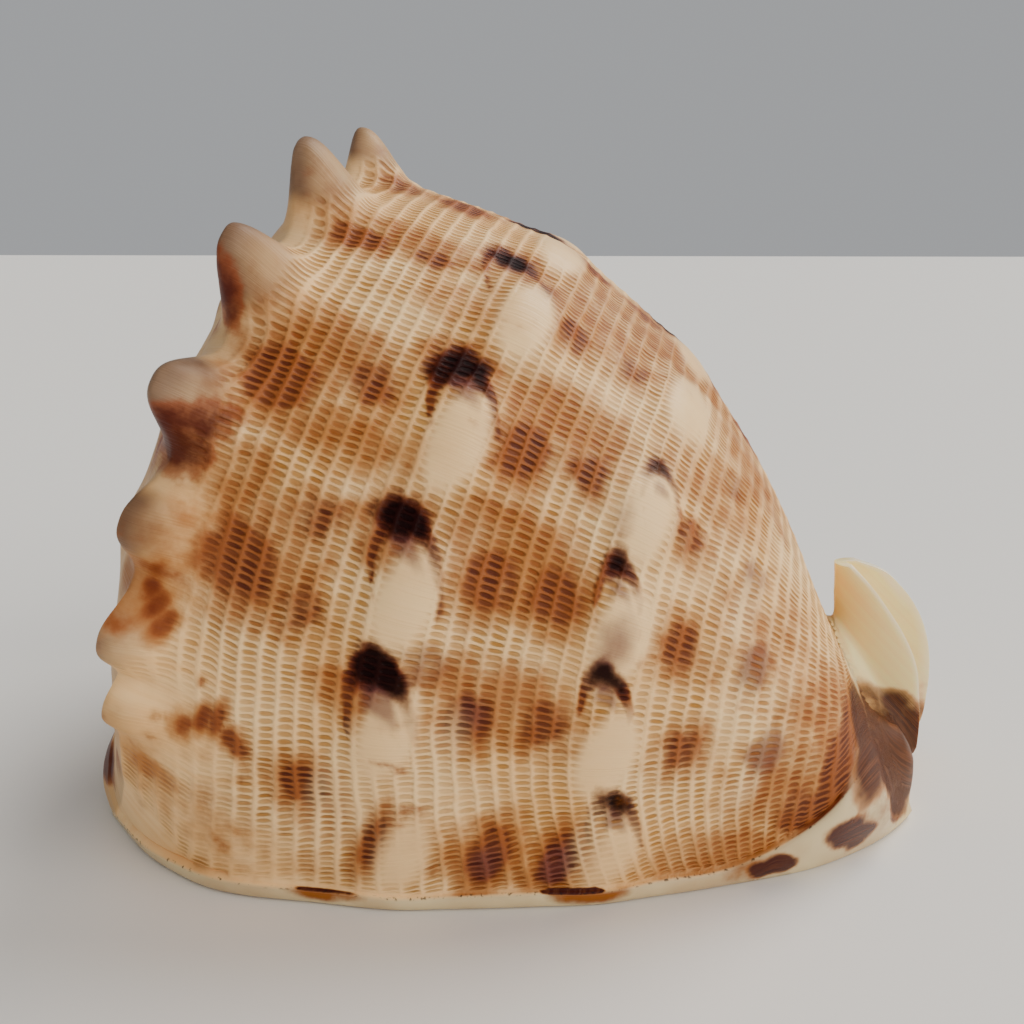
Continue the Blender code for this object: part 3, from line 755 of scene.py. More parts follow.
def spire_rings(grid):
    """Rings from the shoulder up to the apex, made from the shoulder's own ring."""
    fine = 1 - SPIRE_FINE_STEP * np.arange(1, SPIRE_FINE_RINGS + 1)
    coarse = fine[-1] + (SPIRE_TIP_SHARE - fine[-1]) * np.linspace(0, 1, SPIRE_RINGS + 1)[1:]
    rim = {name: values[-1] for name, values in grid.items()}
    turn = rim["turn"]
    rows = {name: [] for name in grid}
    for share in np.r_[fine, coarse]:
        rows["run"].append(rim["run"] * share + smooth(SPIRE, share) - spire_relief(share, turn))
        rows["out"].append(rim["out"] * share)
        rows["height"].append(rim["height"] * share)
        for name in ("gap", "far_gap"):
            rows[name].append(rim[name] + SHIELD_END * (1 - share))
        for name in ("turn", "pits", "slant"):
            rows[name].append(rim[name])
        past = np.full(turn.shape, (share - 1) * LIP_SIDE[0][1])
        rows["past"].append(past)
        rows["lane"].append(past / LANE_PITCH)
    for name in grid:
        grid[name] = np.concatenate([grid[name], np.array(rows[name])])
    return grid


def arc_gap(turn, centre, radius):
    return radius * np.radians((turn - centre + 180) % 360 - 180)


def horn_lift(grid, turn, radius):
    lift = np.zeros(turn.shape)
    for centre, run, height, half_width in HORNS:
        across = np.abs(arc_gap(turn, centre, radius)) / (half_width * HORN_WIDENING)
        along = grid["past"] - run
        peg = np.exp(-(np.maximum(along, 0) / HORN_RUN_OUT) ** HORN_PEG_POWER)
        ridge = np.exp(-(np.maximum(along, 0) / HORN_RIDGE_REACH) ** HORN_RIDGE_POWER)
        body_side = (1 - HORN_RIDGE_SHARE) * peg + HORN_RIDGE_SHARE * ridge
        spire_side = np.exp(-(np.maximum(-along, 0) / HORN_SPIRE_SIDE) ** HORN_SPIRE_POWER)
        form = HORN_SHARE * np.exp(-across**HORN_ROUND_POWER) * body_side * spire_side
        lift = np.maximum(lift, height * form)
    return lift


def knob_lift(grid, turn, radius):
    """Height of the knobs, and how much of each place a smooth knob covers."""
    lift = np.zeros(turn.shape)
    cover = np.zeros(turn.shape)
    for centre, run, height in KNOBS:
        size = SMALL_KNOB_SHARE if height < SMALL_KNOB else 1.0
        across = np.abs(arc_gap(turn, centre, radius)) / (KNOB_HALF_TURN * size)
        along = np.abs(grid["past"] - run) / (KNOB_HALF_RUN * size)
        form = np.exp(-(across**KNOB_POWER) - along**KNOB_POWER)
        lift = np.maximum(lift, height * form)
        across = (arc_gap(turn, centre, radius) + SMOOTH_SHIFT) / (SMOOTH_HALF_TURN * size)
        along = (grid["past"] - run) / (SMOOTH_HALF_RUN * size)
        bare = 1 - step_up(*BARE_EDGE, np.hypot(across, along))
        cover = np.maximum(cover, bare * min(1.0, height / BARE_KNOB))
    return lift, cover


def spots(grid, turn, radius, places):
    """The strongest of some soft oval spots, 1 at a spot's middle and 0 past its edge, times its strength."""
    value = np.zeros(turn.shape)
    for run, centre, half_run, half_turn, strength in places:
        across = arc_gap(turn, centre, radius) / half_turn
        along = (grid["past"] - run) / half_run
        value = np.maximum(value, strength * np.clip(1 - 0.5 * (across**2 + along**2), 0, 1))
    return value


def arches(grid, turn, radius):
    """Arches round the upper ends of the knobs: their brown, their dark top and the violet under it."""
    brown, dark, violet = np.zeros(turn.shape), np.zeros(turn.shape), np.zeros(turn.shape)
    for run, centre, half_run, half_turn, strength, darkness in ARCHES:
        across = arc_gap(turn, centre, radius) / half_turn
        along = (grid["past"] - run) / half_run + ARCH_TILT * across
        reach = np.hypot(across, along)
        top = np.clip(across / np.maximum(reach, TINY), 0, 1)
        ring = np.exp(-(((reach - 1) / (ARCH_THIN + ARCH_THICK * top)) ** 2))
        brown = np.maximum(brown, strength * ring * step_up(*ARCH_LEGS, across))
        dark = np.maximum(dark, darkness * strength * ring * top**ARCH_DARK_POWER)
        under = np.exp(-(((reach - ARCH_VIOLET_PLACE) / ARCH_VIOLET_WIDTH) ** 2))
        violet = np.maximum(violet, strength * under * top)
    return brown, dark, violet


def placed_spots(points, places):
    """Soft spots in space, 1 at the middle and 0 past the edge, times their strength."""
    value = np.zeros(points.shape[:-1])
    for x, y, z, half_x, half_y, half_z, strength in places:
        away = (points - np.array((x, y, z))) / np.array((half_x, half_y, half_z))
        value = np.maximum(value, strength * np.clip(1 - 0.5 * np.sum(away**2, axis=-1), 0, 1))
    return value


def strayed(draw, run, turn, kind):
    """One spot of a kind, shifted and resized at random where the kind lets it stray."""
    middle, stray = kind
    moves = iter(draw.normal(0, 1, np.count_nonzero(stray)))
    values = [value + (reach * next(moves) if reach else 0) for value, reach in zip(middle, stray)]
    return (run + values[0], turn + values[1], *values[2:])


def hidden_spots():
    """The same kinds of spots over the back, the far side and the spire."""
    draw = np.random.default_rng(HIDDEN_SEED)
    brown, dark = [], []
    for turn in HIDDEN_TURNS:
        brown += [strayed(draw, run, turn, HIDDEN_BROWN) for run in HIDDEN_RUNS]
        dark += [strayed(draw, run, turn, HIDDEN_DARK) for run in HIDDEN_DARK_RUNS]
    for run in SPIRE_SPOT_RUNS:
        brown += [strayed(draw, run, turn, SPIRE_BROWN) for turn in SPIRE_SPOT_TURNS]
    return brown, dark


def colour_fields(grid, turn, radius, cover, lift):
    brown_more, dark_more = hidden_spots()
    browns = list(BROWN_SPOTS) + brown_more
    darks = list(DARK_SPOTS) + dark_more
    halos = [(run, centre, half_run * HALO, half_turn * HALO, HALO_SHARE * strength)
             for run, centre, half_run, half_turn, strength in browns + darks]
    arch_brown, arch_dark, arch_violet = arches(grid, turn, radius)
    fields = {
        "dark": np.maximum(spots(grid, turn, radius, darks), arch_dark),
        "brown": np.maximum(spots(grid, turn, radius, browns), arch_brown),
        "tan": np.maximum(spots(grid, turn, radius, list(TAN_PATCHES) + halos), arch_brown),
        "violet": np.maximum(spots(grid, turn, radius, VIOLET_PATCHES), arch_violet),
        "pale": np.maximum(cover, spots(grid, turn, radius, PALE_PATCHES)),
    }
    fade = step_up(*NET_SHOULDER, grid["past"]) * step_up(*NET_LIP, grid["gap"])
    fade = fade * (1 - step_up(*NET_END, grid["run"])) * step_up(*NET_FAR, grid["far_gap"])
    faint = np.clip(1 - spots(grid, turn, radius, FAINT_NET), 0.0, 1)
    fields["net"] = (1 - cover) * fade * (1 - step_up(*NET_HORN, lift)) * faint
    # The horns' own grey with painted shade on their spire side, weaker on their lit body side, and a weaker
    # band of it along the shoulder
    horn = step_up(*HORN_COLOUR, lift) * (1 - HORN_LIT_SIDE_SHARE * step_up(*HORN_BODY_SIDE, grid["past"]))
    fields["horn"] = np.maximum(horn, SHADED_SHOULDER_SHARE * (1 - step_up(*SHADED_SHOULDER, grid["past"])))
    glossy = np.maximum(1 - step_up(*LIP_GLOSS, grid["gap"]), 1 - step_up(*SHIELD_GLOSS, grid["far_gap"]))
    fields["gloss"] = np.maximum(glossy, step_up(*END_GLOSS, grid["run"]))
    for name in ("dark", "brown", "tan", "violet"):
        fields[name] = fields[name] * (1 - fields["gloss"])
    return fields


def lip_bars(points, gap):
    bar = np.zeros(gap.shape)
    for first, last, over, under, strength in LIP_BARS:
        past_middle = np.abs(2 * points[..., 0] - first - last) / (last - first)
        taper = np.clip(1 - past_middle**BAR_TAPER, 0, 1)
        over_here, under_here = over * taper, under * taper
        across = step_up(-under_here - BAR_EDGE, -under_here + BAR_EDGE, gap)
        across = across * (1 - step_up(over_here, over_here + BAR_EDGE, gap))
        bar = np.maximum(bar, strength * step_up(*BAR_ENDS, taper) * across)
    return bar


def spread_shield(points):
    """Pushes the ground edge of the spire end outwards into a rounded lobe."""
    x, y, z = points[..., 0], points[..., 1], points[..., 2]
    end = np.clip((SHIELD_LOBE_START - x) / SHIELD_LOBE_FADE, 0, 1)
    side = np.exp(-(((y - SHIELD_LOBE_Y) / SHIELD_LOBE_HALF_WIDTH) ** 4))
    low = np.exp(-((z / SHIELD_LOBE_HEIGHT) ** 3))
    points = points.copy()
    points[..., 0] = x - SHIELD_LOBE * end * side * low
    return points


def skin_points(grid):
    """World points of the whole skin, and the fields that its material reads."""
    turn = grid["turn"]
    radius = np.hypot(grid["out"], grid["height"])
    points = to_world(grid["run"], grid["out"], grid["height"])
    on_ground = points[..., 2] < ON_GROUND
    axis_point = AXIS_START + grid["run"][..., None] * ALONG
    outward = points - axis_point
    outward = outward / np.maximum(np.linalg.norm(outward, axis=-1, keepdims=True), TINY)
    knobs, cover = knob_lift(grid, turn, radius)
    horns = horn_lift(grid, turn, radius)
    fields = colour_fields(grid, turn, radius, cover, horns)
    away_from_end = 1 - step_up(RELIEF_FADES, RELIEF_ENDS, grid["run"])
    relief = CORD_HEIGHT * np.cos(2 * pi * grid["lane"])
    relief = relief + WAVE_HEIGHT * np.sin(np.radians(turn) * WAVES_ROUND + WAVE_TWIST * grid["run"])
    points = points + (knobs + relief * fields["net"] * away_from_end)[..., None] * outward
    heading = cos(HORN_LEAN) * outward - sin(HORN_LEAN) * ALONG
    points = points + horns[..., None] * heading
    points = spread_shield(points)
    points[..., 2] = np.where(on_ground, 0.0, np.maximum(points[..., 2], 0.0))
    fields["lane"] = grid["lane"]
    fields["pits"] = grid["pits"]
    fields["slant"] = grid["slant"]
    fields["growth"] = growth_of(grid["past"], np.minimum(turn, 360 - turn))
    fields["gap"] = grid["gap"]
    fields["bar"] = lip_bars(points, grid["gap"])
    fields["canal"] = np.zeros(turn.shape)
    fields["rim"] = np.zeros(turn.shape)
    fields["base"] = placed_spots(points, CANAL_BASE)
    fields["brown"] = np.maximum(fields["brown"], placed_spots(points, CORNER_BROWN))
    fields["tan"] = np.maximum(fields["tan"], CORNER_TAN * placed_spots(points, CORNER_BROWN))
    fields["bar"] = np.maximum(fields["bar"], placed_spots(points, LIP_SPOTS) * fields["gloss"])
    fields["stain"] = placed_spots(points, HORN_STAINS)
    fields["lipstain"] = placed_spots(points, LIP_STAINS)
    return points, np.stack([fields[name] for name in FIELDS], axis=-1)


def stitched(lower, upper, shared):
    """Faces between two rings. Where shared is given, it holds the upper ring's place of each lower point."""
    faces = []
    count = len(lower)
    places = list(range(count)) if shared is None else list(shared)
    places.append(len(upper))
    for k in range(count):
        a, b = lower[k], lower[(k + 1) % count]
        row = [upper[place % len(upper)] for place in range(places[k], places[k + 1] + 1)]
        if len(row) == 2:
            faces.append((a, b, row[1], row[0]))
        else:
            faces.append((a, row[1], row[0]))
            faces.append((a, b, row[1]))
            faces.append((b, row[2], row[1]))
    return faces


def coarse_columns(total):
    """Every second column of the flank, and all the columns of the lip band and the ground."""
    band = len(BAND_COLUMNS) - 1
    flank = range(band, band + 2 * FLANK_COLUMNS - 1, 2)
    ground = range(band + 2 * FLANK_COLUMNS - 1, total)
    return np.array(list(range(band)) + list(flank) + list(ground))


def skin_mesh():
    """The skin as vertices, faces and one row of fields for each vertex."""
    grid, body_rows = body_grid()
    grid = close_on_ground(grid)
    rows_to_shoulder = grid["run"].shape[0]
    grid = spire_rings(grid)
    points, fields = skin_points(grid)
    rows, total = points.shape[:2]
    coarse = coarse_columns(total)
    last_fine = rows_to_shoulder + SPIRE_FINE_RINGS
    verts, values, rings = [], [], []
    for i in range(rows):
        kept = np.arange(total) if body_rows <= i < last_fine else coarse
        rings.append(np.arange(len(verts), len(verts) + len(kept)))
        verts.extend(points[i, kept])
        values.extend(fields[i, kept])
    faces = []
    for lower, upper in zip(rings, rings[1:]):
        if len(lower) == len(upper):
            faces += stitched(lower, upper, None)
        elif len(lower) < len(upper):
            faces += stitched(lower, upper, coarse)
        else:
            faces += [face[::-1] for face in stitched(upper, lower, coarse)]
    for ring, order in ((rings[0], -1), (rings[-1], 1)):
        middle = len(verts)
        verts.append(np.mean([verts[k] for k in ring], axis=0))
        values.append(np.mean([values[k] for k in ring], axis=0))
        faces += [(ring[k], ring[(k + 1) % len(ring)], middle)[::order] for k in range(len(ring))]
    return np.array(verts), faces, np.array(values)


def new_object(name, verts, faces):
    mesh = bpy.data.meshes.new(name)
    mesh.from_pydata([tuple(point) for point in verts], [], [tuple(int(k) for k in face) for face in faces])
    build = bmesh.new()
    build.from_mesh(mesh)
    bmesh.ops.recalc_face_normals(build, faces=build.faces[:])
    build.to_mesh(mesh)
    build.free()
    item = bpy.data.objects.new(name, mesh)
    bpy.context.scene.collection.objects.link(item)
    return item


def ring_object(name, rings):
    """A closed skin through rings of points, capped at both ends."""
    count = len(rings[0])
    verts = [point for ring in rings for point in ring]
    faces = []
    for i in range(len(rings) - 1):
        for j in range(count):
            k = (j + 1) % count
            faces.append((i * count + j, i * count + k, (i + 1) * count + k, (i + 1) * count + j))
    faces.append(tuple(range(count)))
    faces.append(tuple(range((len(rings) - 1) * count, len(rings) * count)))
    return new_object(name, verts, faces)


def canal_sizes(height):
    """The canal at a height: X of its back wall, lip-side edge and far edge, and half its width."""
    levels = np.array(CANAL_LEVELS)
    return [smooth(levels[:, (0, k)], height) for k in range(1, levels.shape[1])]


def canal_ring(height):
    back, lip_edge, far_edge, half = canal_sizes(height)
    ring = []
    for wall, count, order in ((0.0, CANAL_OUTSIDE_POINTS, 1), (CANAL_WALL, CANAL_INSIDE_POINTS, -1)):
        for step in np.linspace(-1, 1, count)[::order]:
            edge = lip_edge + (far_edge - lip_edge) * (step + 1) / 2
            reach = edge - back - wall
            x = back + wall + reach * (1 - cos(step * pi / 2))
            y = AXIS_Y + (half - wall) * sin(step * pi / 2)
            ring.append((x, y, height))
    return ring


def canal():
    low, high = CANAL_LEVELS[0][0], CANAL_LEVELS[-1][0]
    heights = low + (high - low) * np.linspace(0, 1, CANAL_RINGS) ** CANAL_RING_POWER
    return ring_object("canal_form", [canal_ring(height) for height in heights])


def toe():
    """A rounded form that fills the corner between the canal's foot and the lip."""
    rings = []
    for angle in np.linspace(TOE_TIP, pi - TOE_TIP, TOE_RINGS):
        ring = []
        for turn in np.linspace(0, 2 * pi, TOE_STEPS, endpoint=False):
            spot = np.array((cos(angle), sin(angle) * cos(turn), sin(angle) * sin(turn)))
            point = np.array(TOE_PLACE) + np.array(TOE_SIZE) * spot
            ring.append((point[0], point[1], max(point[2], 0.0)))
        rings.append(ring)
    return ring_object("toe_form", rings)


def tooth(x, centres, half_length):
    return max(np.exp(-abs((x - centre) / half_length) ** TOOTH_POWER) for centre in centres)


def aperture_cutter():
    table = np.array(APERTURE)
    rings = []
    for x in np.linspace(table[0, 0], table[-1, 0], APERTURE_RINGS):
        lipward, half, depth = (smooth(table[:, (0, k)], x) for k in (1, 2, 3))
        lip_tooth = LIP_TOOTH_HEIGHT * tooth(x, LIP_TEETH, LIP_TOOTH_HALF_LENGTH)
        fold = FOLD_HEIGHT * tooth(x, FOLDS, FOLD_HALF_LENGTH)
        ring = []
        for side, up in APERTURE_SECTION:
            height = up * APERTURE_BELOW if up < 0 else up * depth
            inward = 0.0 if up < 0 else (lip_tooth if side < 0 else fold) * (1 - up)
            reach = side * half + (inward if side < 0 else -inward)
            ring.append((x, AXIS_Y - lipward + reach, height))
        rings.append(ring)
    return ring_object("aperture_cutter", rings)


def chamber_cutter():
    rings = []
    for share in np.linspace(0, 1, CHAMBER_STEPS):
        turn = CHAMBER_FIRST_TURN + (CHAMBER_LAST_TURN - CHAMBER_FIRST_TURN) * share
        first = CHAMBER_RUN[0] + (CHAMBER_LAST_RUN[0] - CHAMBER_RUN[0]) * share
        last = CHAMBER_RUN[1] + (CHAMBER_LAST_RUN[1] - CHAMBER_RUN[1]) * share
        spoke = sin(radians(turn)) * LIPWARD - cos(radians(turn)) * UP
        ring = []
        for angle in np.linspace(0, 2 * pi, CHAMBER_POINTS, endpoint=False):
            run = (first + last) / 2 - (last - first) / 2 * cos(angle)
            out, height = whorl_outline(run)
            outer = np.interp(turn, turn_of(out, height), np.hypot(out, height)) - WALL
            if turn < 90 or turn > 270:
                outer = min(outer, (ground_depth(run) - GROUND_WALL) / max(cos(radians(turn)), STEEPEST))
            inner = PILLAR * (1 - PILLAR_TAPER * run / BODY_LENGTH)
            reach = max((outer - inner) / 2, CHAMBER_LEAST)
            radius = (outer + inner) / 2 + reach * np.sign(sin(angle)) * abs(sin(angle)) ** CHAMBER_SQUARENESS
            ring.append(AXIS_START + run * ALONG + radius * spoke)
        rings.append(ring)
    return ring_object("chamber_cutter", rings)


def combine(target, other, operation):
    """Applies a Boolean and removes the other object."""
    change = target.modifiers.new(other.name, "BOOLEAN")
    change.object = other
    change.operation = operation
    change.solver = "EXACT"
    bpy.context.view_layer.update()
    graph = bpy.context.evaluated_depsgraph_get()
    mesh = bpy.data.meshes.new_from_object(target.evaluated_get(graph))
    target.modifiers.clear()
    target.data = mesh
    bpy.data.objects.remove(other)


def read_surface(points, verts, faces, values):
    """Values at points, read off the nearest face of a mesh, and the distance to it."""
    corners = [Vector(vert) for vert in verts]
    tree = BVHTree.FromPolygons(corners, faces)
    read = np.zeros((len(points), values.shape[1]))
    distance = np.zeros(len(points))
    for k, point in enumerate(points):
        place, _, index, away = tree.find_nearest(Vector(point))
        face = faces[index]
        weights = np.array(poly_3d_calc([corners[j] for j in face], place))
        read[k] = weights @ values[list(face)]
        distance[k] = away
    return read, distance


def mesh_points(mesh):
    co = np.empty(len(mesh.vertices) * 3)
    mesh.vertices.foreach_get("co", co)
    return co.reshape(-1, 3)


def soften(mesh, weight, rounds):
    """Evens out the points where weight is over 0."""
    co = mesh_points(mesh)
    ends = np.empty(len(mesh.edges) * 2, dtype=int)
    mesh.edges.foreach_get("vertices", ends)
    first, last = ends[::2], ends[1::2]
    near = (weight[first] > 0) | (weight[last] > 0)
    first, last = first[near], last[near]
    degree = np.bincount(np.r_[first, last], minlength=len(co)).astype(float)
    for _ in range(rounds):
        total = np.zeros_like(co)
        np.add.at(total, first, co[last])
        np.add.at(total, last, co[first])
        mean = total / np.maximum(degree, 1)[:, None]
        co = co + weight[:, None] * (mean - co)
    mesh.vertices.foreach_set("co", co.ravel())
    mesh.update()


def weld(mesh):
    """Joins the points that evening out has drawn together, so that no face is left without an area."""
    build = bmesh.new()
    build.from_mesh(mesh)
    bmesh.ops.remove_doubles(build, verts=build.verts[:], dist=WELD)
    bmesh.ops.dissolve_degenerate(build, dist=WELD / 10, edges=build.edges[:])
    build.to_mesh(mesh)
    build.free()


def set_field(mesh, name, values):
    layer = mesh.attributes.new(name, "FLOAT", "POINT")
    layer.data.foreach_set("value", np.ascontiguousarray(values, dtype=np.float32))


def canal_fields(points):
    """Fields on the canal: glossy, pale at its top with a painted highlight along its edges, and brown at its
    base on the lip side.
    """
    values = np.zeros((len(points), len(FIELDS)))
    place = {name: k for k, name in enumerate(FIELDS)}
    values[:, place["gap"]] = CANAL_GAP
    values[:, place["canal"]] = 1.0
    values[:, place["lane"]] = points[:, 2] / LANE_PITCH
    values[:, place["growth"]] = CANAL_GROWTH * (points[:, 0] + points[:, 2])
    low = CANAL_LOW_SHARE * (1 - step_up(*CANAL_LOW, points[:, 2]))
    values[:, place["base"]] = np.maximum(placed_spots(points, CANAL_BASE), low)
    _, lip_edge, far_edge, half = canal_sizes(points[:, 2])
    share = np.clip((points[:, 1] - AXIS_Y + half) / (2 * half), 0, 1)
    to_edge = lip_edge + (far_edge - lip_edge) * share - points[:, 0]
    # A painted highlight along the canal's free edges
    values[:, place["rim"]] = 1 - step_up(CANAL_RIM / 3, CANAL_RIM, to_edge)
    return values


def build_shell():
    verts, faces, values = skin_mesh()
    faces = [tuple(int(k) for k in face) for face in faces]
    shell = new_object("helmet_shell", verts, faces)
    sources = [(verts, faces, values)]
    for form in (canal(), toe()):
        points = mesh_points(form.data)
        form_faces = [tuple(face.vertices) for face in form.data.polygons]
        sources.append((points, form_faces, canal_fields(points)))
        combine(shell, form, "UNION")
    for cutter in (chamber_cutter(), aperture_cutter()):
        combine(shell, cutter, "DIFFERENCE")
    mesh = shell.data
    points = mesh_points(mesh)
    read = [read_surface(points, *source) for source in sources]
    fields, nearest = read[0]
    for own, away in read[1:]:
        share = np.clip(0.5 + (nearest - away) / SEAM_COLOUR_WIDTH, 0, 1)
        blend = step_up(0, 1, share)[:, None]
        fields = fields * (1 - blend) + own * blend
        nearest = np.minimum(nearest, away)
    inner = (nearest > INSIDE_DEPTH).astype(float)
    away = np.sort(np.stack([away for _, away in read]), axis=0)[1]
    seam = np.clip(1 - away / SEAM_WIDTH, 0, 1)
    soften(mesh, SEAM_SOFTENING * seam * (1 - inner) * (points[:, 2] > SEAM_LOWEST), SEAM_ROUNDS)
    for k, name in enumerate(FIELDS):
        set_field(mesh, name, fields[:, k])
    set_field(mesh, INNER, inner)
    weld(mesh)
    mesh.shade_smooth()
    mesh.set_sharp_from_angle(angle=SHARP_EDGE)
    print("shell triangles", sum(len(face.vertices) - 2 for face in mesh.polygons))
    return shell


class Value:
    """What a node gives. Sums, products and powers of such values make further nodes."""

    def __init__(self, paint, socket):
        self.paint = paint
        self.socket = socket

    def __add__(self, other):
        return self.paint.math("ADD", self, other)

    def __sub__(self, other):
        return self.paint.math("SUBTRACT", self, other)

    def __rsub__(self, other):
        return self.paint.math("SUBTRACT", other, self)

    def __mul__(self, other):
        return self.paint.math("MULTIPLY", self, other)

    def __pow__(self, other):
        return self.paint.math("POWER", self, other)


class Paint:
    """Short calls for the nodes of one material."""

    def __init__(self, name):
        self.material = bpy.data.materials.new(name)
        self.material.use_nodes = True
        self.tree = self.material.node_tree
        self.surface = self.tree.nodes["Principled BSDF"]

    def put(self, socket, value):
        if isinstance(value, Value):
            self.tree.links.new(value.socket, socket)
        else:
            socket.default_value = value

    def node(self, kind, output, inputs, **settings):
        """Adds a node, sets it up and gives one of its outputs."""
        node = self.tree.nodes.new("ShaderNode" + kind)
        for name, setting in settings.items():
            setattr(node, name, setting)
        for key, value in inputs.items():
            self.put(node.inputs[key], value)
        return Value(self, node.outputs[output])

    def field(self, name):
        return self.node("Attribute", "Fac", {}, attribute_name=name)

    def math(self, operation, *values):
        return self.node("Math", 0, dict(enumerate(values)), operation=operation)

    def ramp(self, value, low, high):
        limits = {"Value": value, "From Min": low, "From Max": high}
        return self.node("MapRange", "Result", limits, interpolation_type="SMOOTHSTEP")

    def mix(self, factor, first, second):
        return self.node("Mix", 2, {0: factor, 6: first, 7: second}, data_type="RGBA")

    def noise(self, scale, detail, vector=None):
        vector = vector or self.node("TexCoord", "Object", {})
        return self.node("TexNoise", "Fac", {"Scale": scale, "Detail": detail, "Vector": vector})

    def line_noise(self, growth, lane, detail):
        """Noise drawn out along the growth lines."""
        parts = {0: self.field("growth") * growth, 1: self.field("lane") * lane}
        return self.noise(1.0, detail, self.node("CombineXYZ", 0, parts))

    def patches(self, name):
        scale, detail, low, high = PATCHES[name]
        return self.ramp(self.noise(scale, detail), low, high)

    def streaks(self, name):
        growth, lane, detail, low, high = STREAKS[name]
        return self.ramp(self.line_noise(growth, lane, detail), low, high)

    def one_of_many(self, number):
        return self.node("TexWhiteNoise", "Value", {"W": number}, noise_dimensions="1D")

    def layers(self, colour, areas, table):
        """Lays colours over a colour, each on its area and at its strength."""
        for area, strength, over in table:
            colour = self.mix(areas[area] * strength, colour, over)
        return colour


def summed(total, areas, weights):
    for area, weight in weights.items():
        total = areas[area] * weight + total
    return total


def pit_pattern(paint):
    """Pits in spiral lanes: how deep each place lies in a pit, and how near it lies to a cord."""
    lane = paint.field("lane") + (paint.noise(*LANE_WOBBLE_NOISE) - 0.5) * LANE_WOBBLE
    number = paint.math("FLOOR", lane)
    past_middle = paint.math("FRACT", lane) - 0.5
    across = paint.math("ABSOLUTE", past_middle)
    row = paint.field("pits") + paint.one_of_many(number) * ROW_JITTER - paint.field("slant") * past_middle
    row = row + paint.noise(*ROW_SWAY_NOISE) * ROW_SWAY
    along = paint.math("ABSOLUTE", paint.math("FRACT", row) - 0.5)
    lane_chance = paint.one_of_many(number + LANE_SEED)
    pit_chance = paint.one_of_many(paint.math("MULTIPLY_ADD", number, PIT_SEED, paint.math("FLOOR", row)))
    reach = (across * between(lane_chance, LANE_NARROWING)) ** LANE_POWER
    reach = reach + (along * between(pit_chance, PIT_NARROWING)) ** PIT_POWER
    pit = (1.0 - paint.ramp(reach, *PIT_EDGE)) * between(pit_chance, PIT_STRENGTH)
    return pit, paint.ramp(across, *CORD_EDGE)


def paint_areas(paint):
    """How far each area of colour has set in at a place, from 0 to 1."""
    ragged = paint.noise(*RAGGED_NOISE) - 0.5
    slow = (paint.noise(*SLOW_NOISE) - 0.5) * SLOW_SHARE
    areas = {}
    for name, (field, low, high, edge) in AREAS.items():
        areas[name] = paint.ramp(slow + (ragged * edge + paint.field(field)), low, high)
    for name, (area, low, high) in AREA_STEPS.items():
        areas[name] = paint.ramp(areas[area], low, high)
    areas["net"] = paint.ramp(paint.field("net") + paint.noise(*NET_NOISE) * NET_SHARE, *NET_EDGE)
    areas["pale"] = paint.ramp(paint.field("pale"), *PALE_EDGE)
    areas["bare"] = areas["bare_brown"] * (1.0 - areas["net"])
    areas["horn"] = paint.field("horn") * (1.0 - areas["brown"])
    areas["canal"] = paint.field("canal")
    # A painted highlight along the canal's edges
    areas["rim"] = paint.field("rim")
    areas["inner"] = paint.field(INNER)
    areas["gloss"] = paint.field("gloss")
    areas["lip_stain"] = areas["lip_stain"] * areas["gloss"]
    areas["shine"] = paint.math("MAXIMUM", areas["gloss"], areas["canal"]) * (1.0 - areas["base"])
    # Dark specks in a thin band along the lip's crease
    near_crease = 1.0 - paint.ramp(paint.math("ABSOLUTE", paint.field("gap")), *CREASE_SPECK_REACH)
    areas["crease_specks"] = near_crease * paint.patches("specks")
    return areas


def skin_colour(paint, areas):
    ridge = paint.mix(paint.patches("ridge"), CREAM, PINK_CREAM)
    ridge = paint.mix(paint.streaks("bands") * BANDS_SHARE, ridge, PINK_CREAM)
    ridge = paint.layers(ridge, areas, RIDGE_LAYERS)
    hollow = paint.layers(PIT_PALE, areas, HOLLOW_LAYERS)
    colour = paint.mix(areas["pit"] * PIT_COLOUR_SHARE, ridge, hollow)
    # The horns' grey with painted shade, mottled between its two tones
    horn = paint.mix(paint.patches("horn"), HORN_SHADED_GREY, HORN_LIGHTER_SHADED_GREY)
    lip = paint.mix(paint.patches("lip"), LIP_CREAM, LIP_TAN)
    streaks = paint.streaks("dark")
    lip_dark = paint.mix(streaks * LIP_STREAKS_SHARE, LIP_BROWN, CANAL_STREAK)
    canal = paint.mix(paint.streaks("arcs") * ARCS_SHARE, CANAL_CREAM, CANAL_PINK)
    base_dark = paint.mix(streaks * BASE_STREAKS_SHARE, CANAL_BROWN, CANAL_STREAK)
    mixed = {"horn": horn, "lip": lip, "lip_dark": lip_dark, "canal": canal, "base_dark": base_dark}
    layers = [(area, strength, mixed.get(over, over)) for area, strength, over in SKIN_LAYERS]
    return paint.layers(colour, areas, layers)


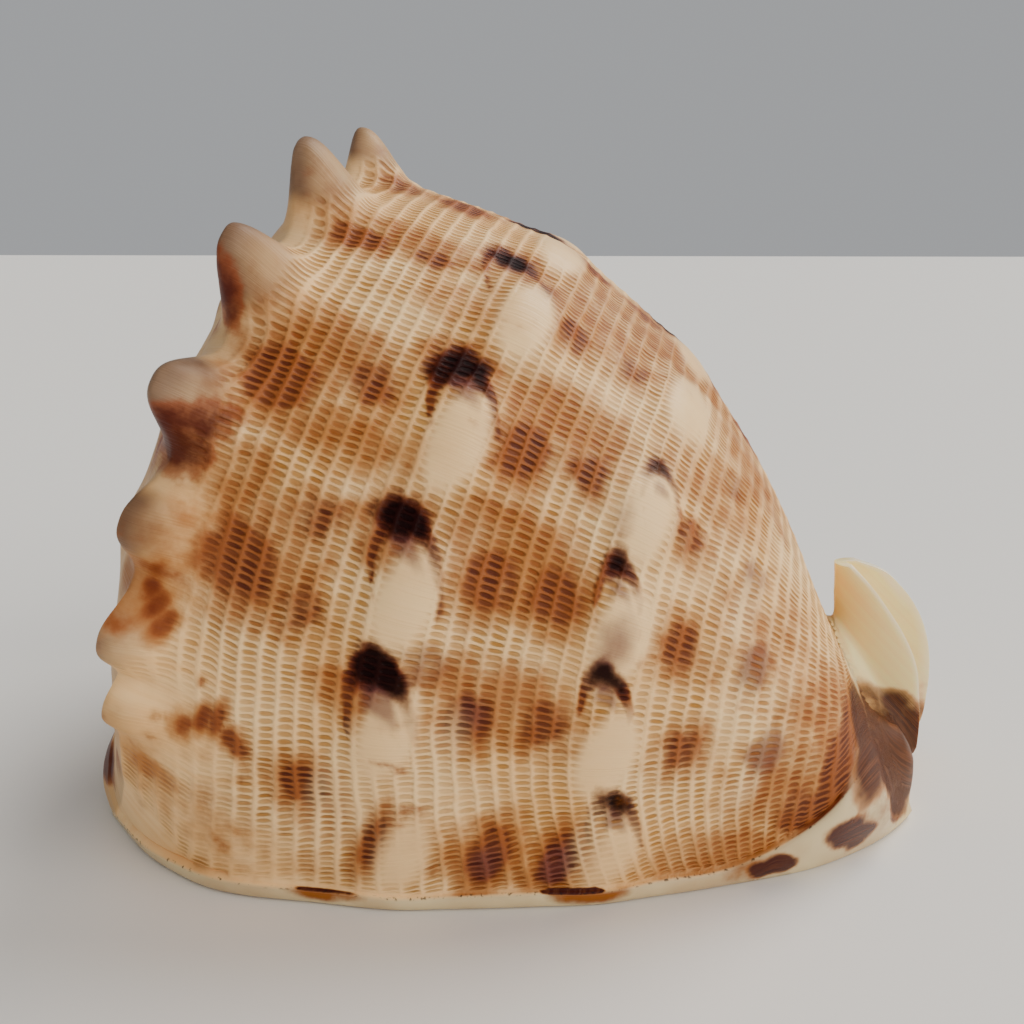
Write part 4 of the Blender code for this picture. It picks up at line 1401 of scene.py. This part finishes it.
def shell_material():
    paint = Paint("shell_skin")
    pit, cord = pit_pattern(paint)
    areas = paint_areas(paint)
    deep = between(paint.patches("deep"), FAINT_PITS)
    coloured = paint.math("MAXIMUM", areas["brown"], areas["tan"] * TAN_DEEPENS)
    areas["pit"] = pit * areas["net"] * paint.math("MAXIMUM", deep, coloured)
    surface = paint.surface.inputs
    paint.put(surface["Base Color"], skin_colour(paint, areas))
    paint.put(surface["Roughness"], summed(ROUGHNESS, areas, ROUGHNESS_CHANGES))
    paint.put(surface["Specular IOR Level"], summed(SPECULAR, areas, SPECULAR_CHANGES))
    paint.put(surface["Subsurface Weight"], between(areas["canal"], SUBSURFACE))
    surface["Subsurface Radius"].default_value = SUBSURFACE_RADIUS
    surface["Subsurface Scale"].default_value = 1.0
    lines = paint.line_noise(*GROWTH_LINES) * between(areas["shine"], LINE_HEIGHT)
    height = cord * (areas["net"] * CORD_SHARE) - areas["pit"] + lines
    relief = {"Distance": BUMP_DISTANCE, "Strength": BUMP_STRENGTH, "Height": height}
    paint.put(surface["Normal"], paint.node("Bump", 0, relief))
    return paint.material


def floor_material():
    paint = Paint("floor")
    paint.surface.inputs["Base Color"].default_value = FLOOR_COLOUR
    paint.surface.inputs["Roughness"].default_value = FLOOR_ROUGHNESS
    return paint.material


def make_floor():
    bpy.ops.mesh.primitive_plane_add(size=FLOOR_SIZE, location=(0, 0, FLOOR_LEVEL))
    floor = bpy.context.object
    floor.name = "floor"
    floor.data.materials.append(floor_material())


def soft_sun(name, place, strength, spread, colour):
    """A sun as wide as a window, shining from a direction on the middle of the scene."""
    data = bpy.data.lights.new(name, "SUN")
    data.energy = strength
    data.angle = radians(spread)
    data.color = colour
    item = bpy.data.objects.new(name, data)
    item.location = place
    item.rotation_euler = (-Vector(place)).to_track_quat("-Z", "Y").to_euler()
    bpy.context.scene.collection.objects.link(item)


def make_lights():
    for name, (place, strength, spread, colour) in SUNS.items():
        soft_sun(name, place, strength, spread, colour)
    world = bpy.data.worlds.new("studio")
    world.use_nodes = True
    background = world.node_tree.nodes["Background"]
    background.inputs["Color"].default_value = SKY_COLOUR
    background.inputs["Strength"].default_value = SKY_STRENGTH
    bpy.context.scene.world = world


def make_camera():
    data = bpy.data.cameras.new("camera")
    data.lens = CAMERA_LENS
    data.sensor_width = CAMERA_SENSOR
    data.clip_start = CAMERA_CLIP
    item = bpy.data.objects.new("camera", data)
    item.location = CAMERA_PLACE
    item.rotation_euler = (pi / 2 - CAMERA_PITCH, 0.0, CAMERA_TURN)
    bpy.context.scene.collection.objects.link(item)
    bpy.context.scene.camera = item


def main():
    shell = build_shell()
    shell.data.materials.clear()
    shell.data.materials.append(shell_material())
    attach(shell, "root")
    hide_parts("shell")
    make_floor()
    make_lights()
    make_camera()


main()
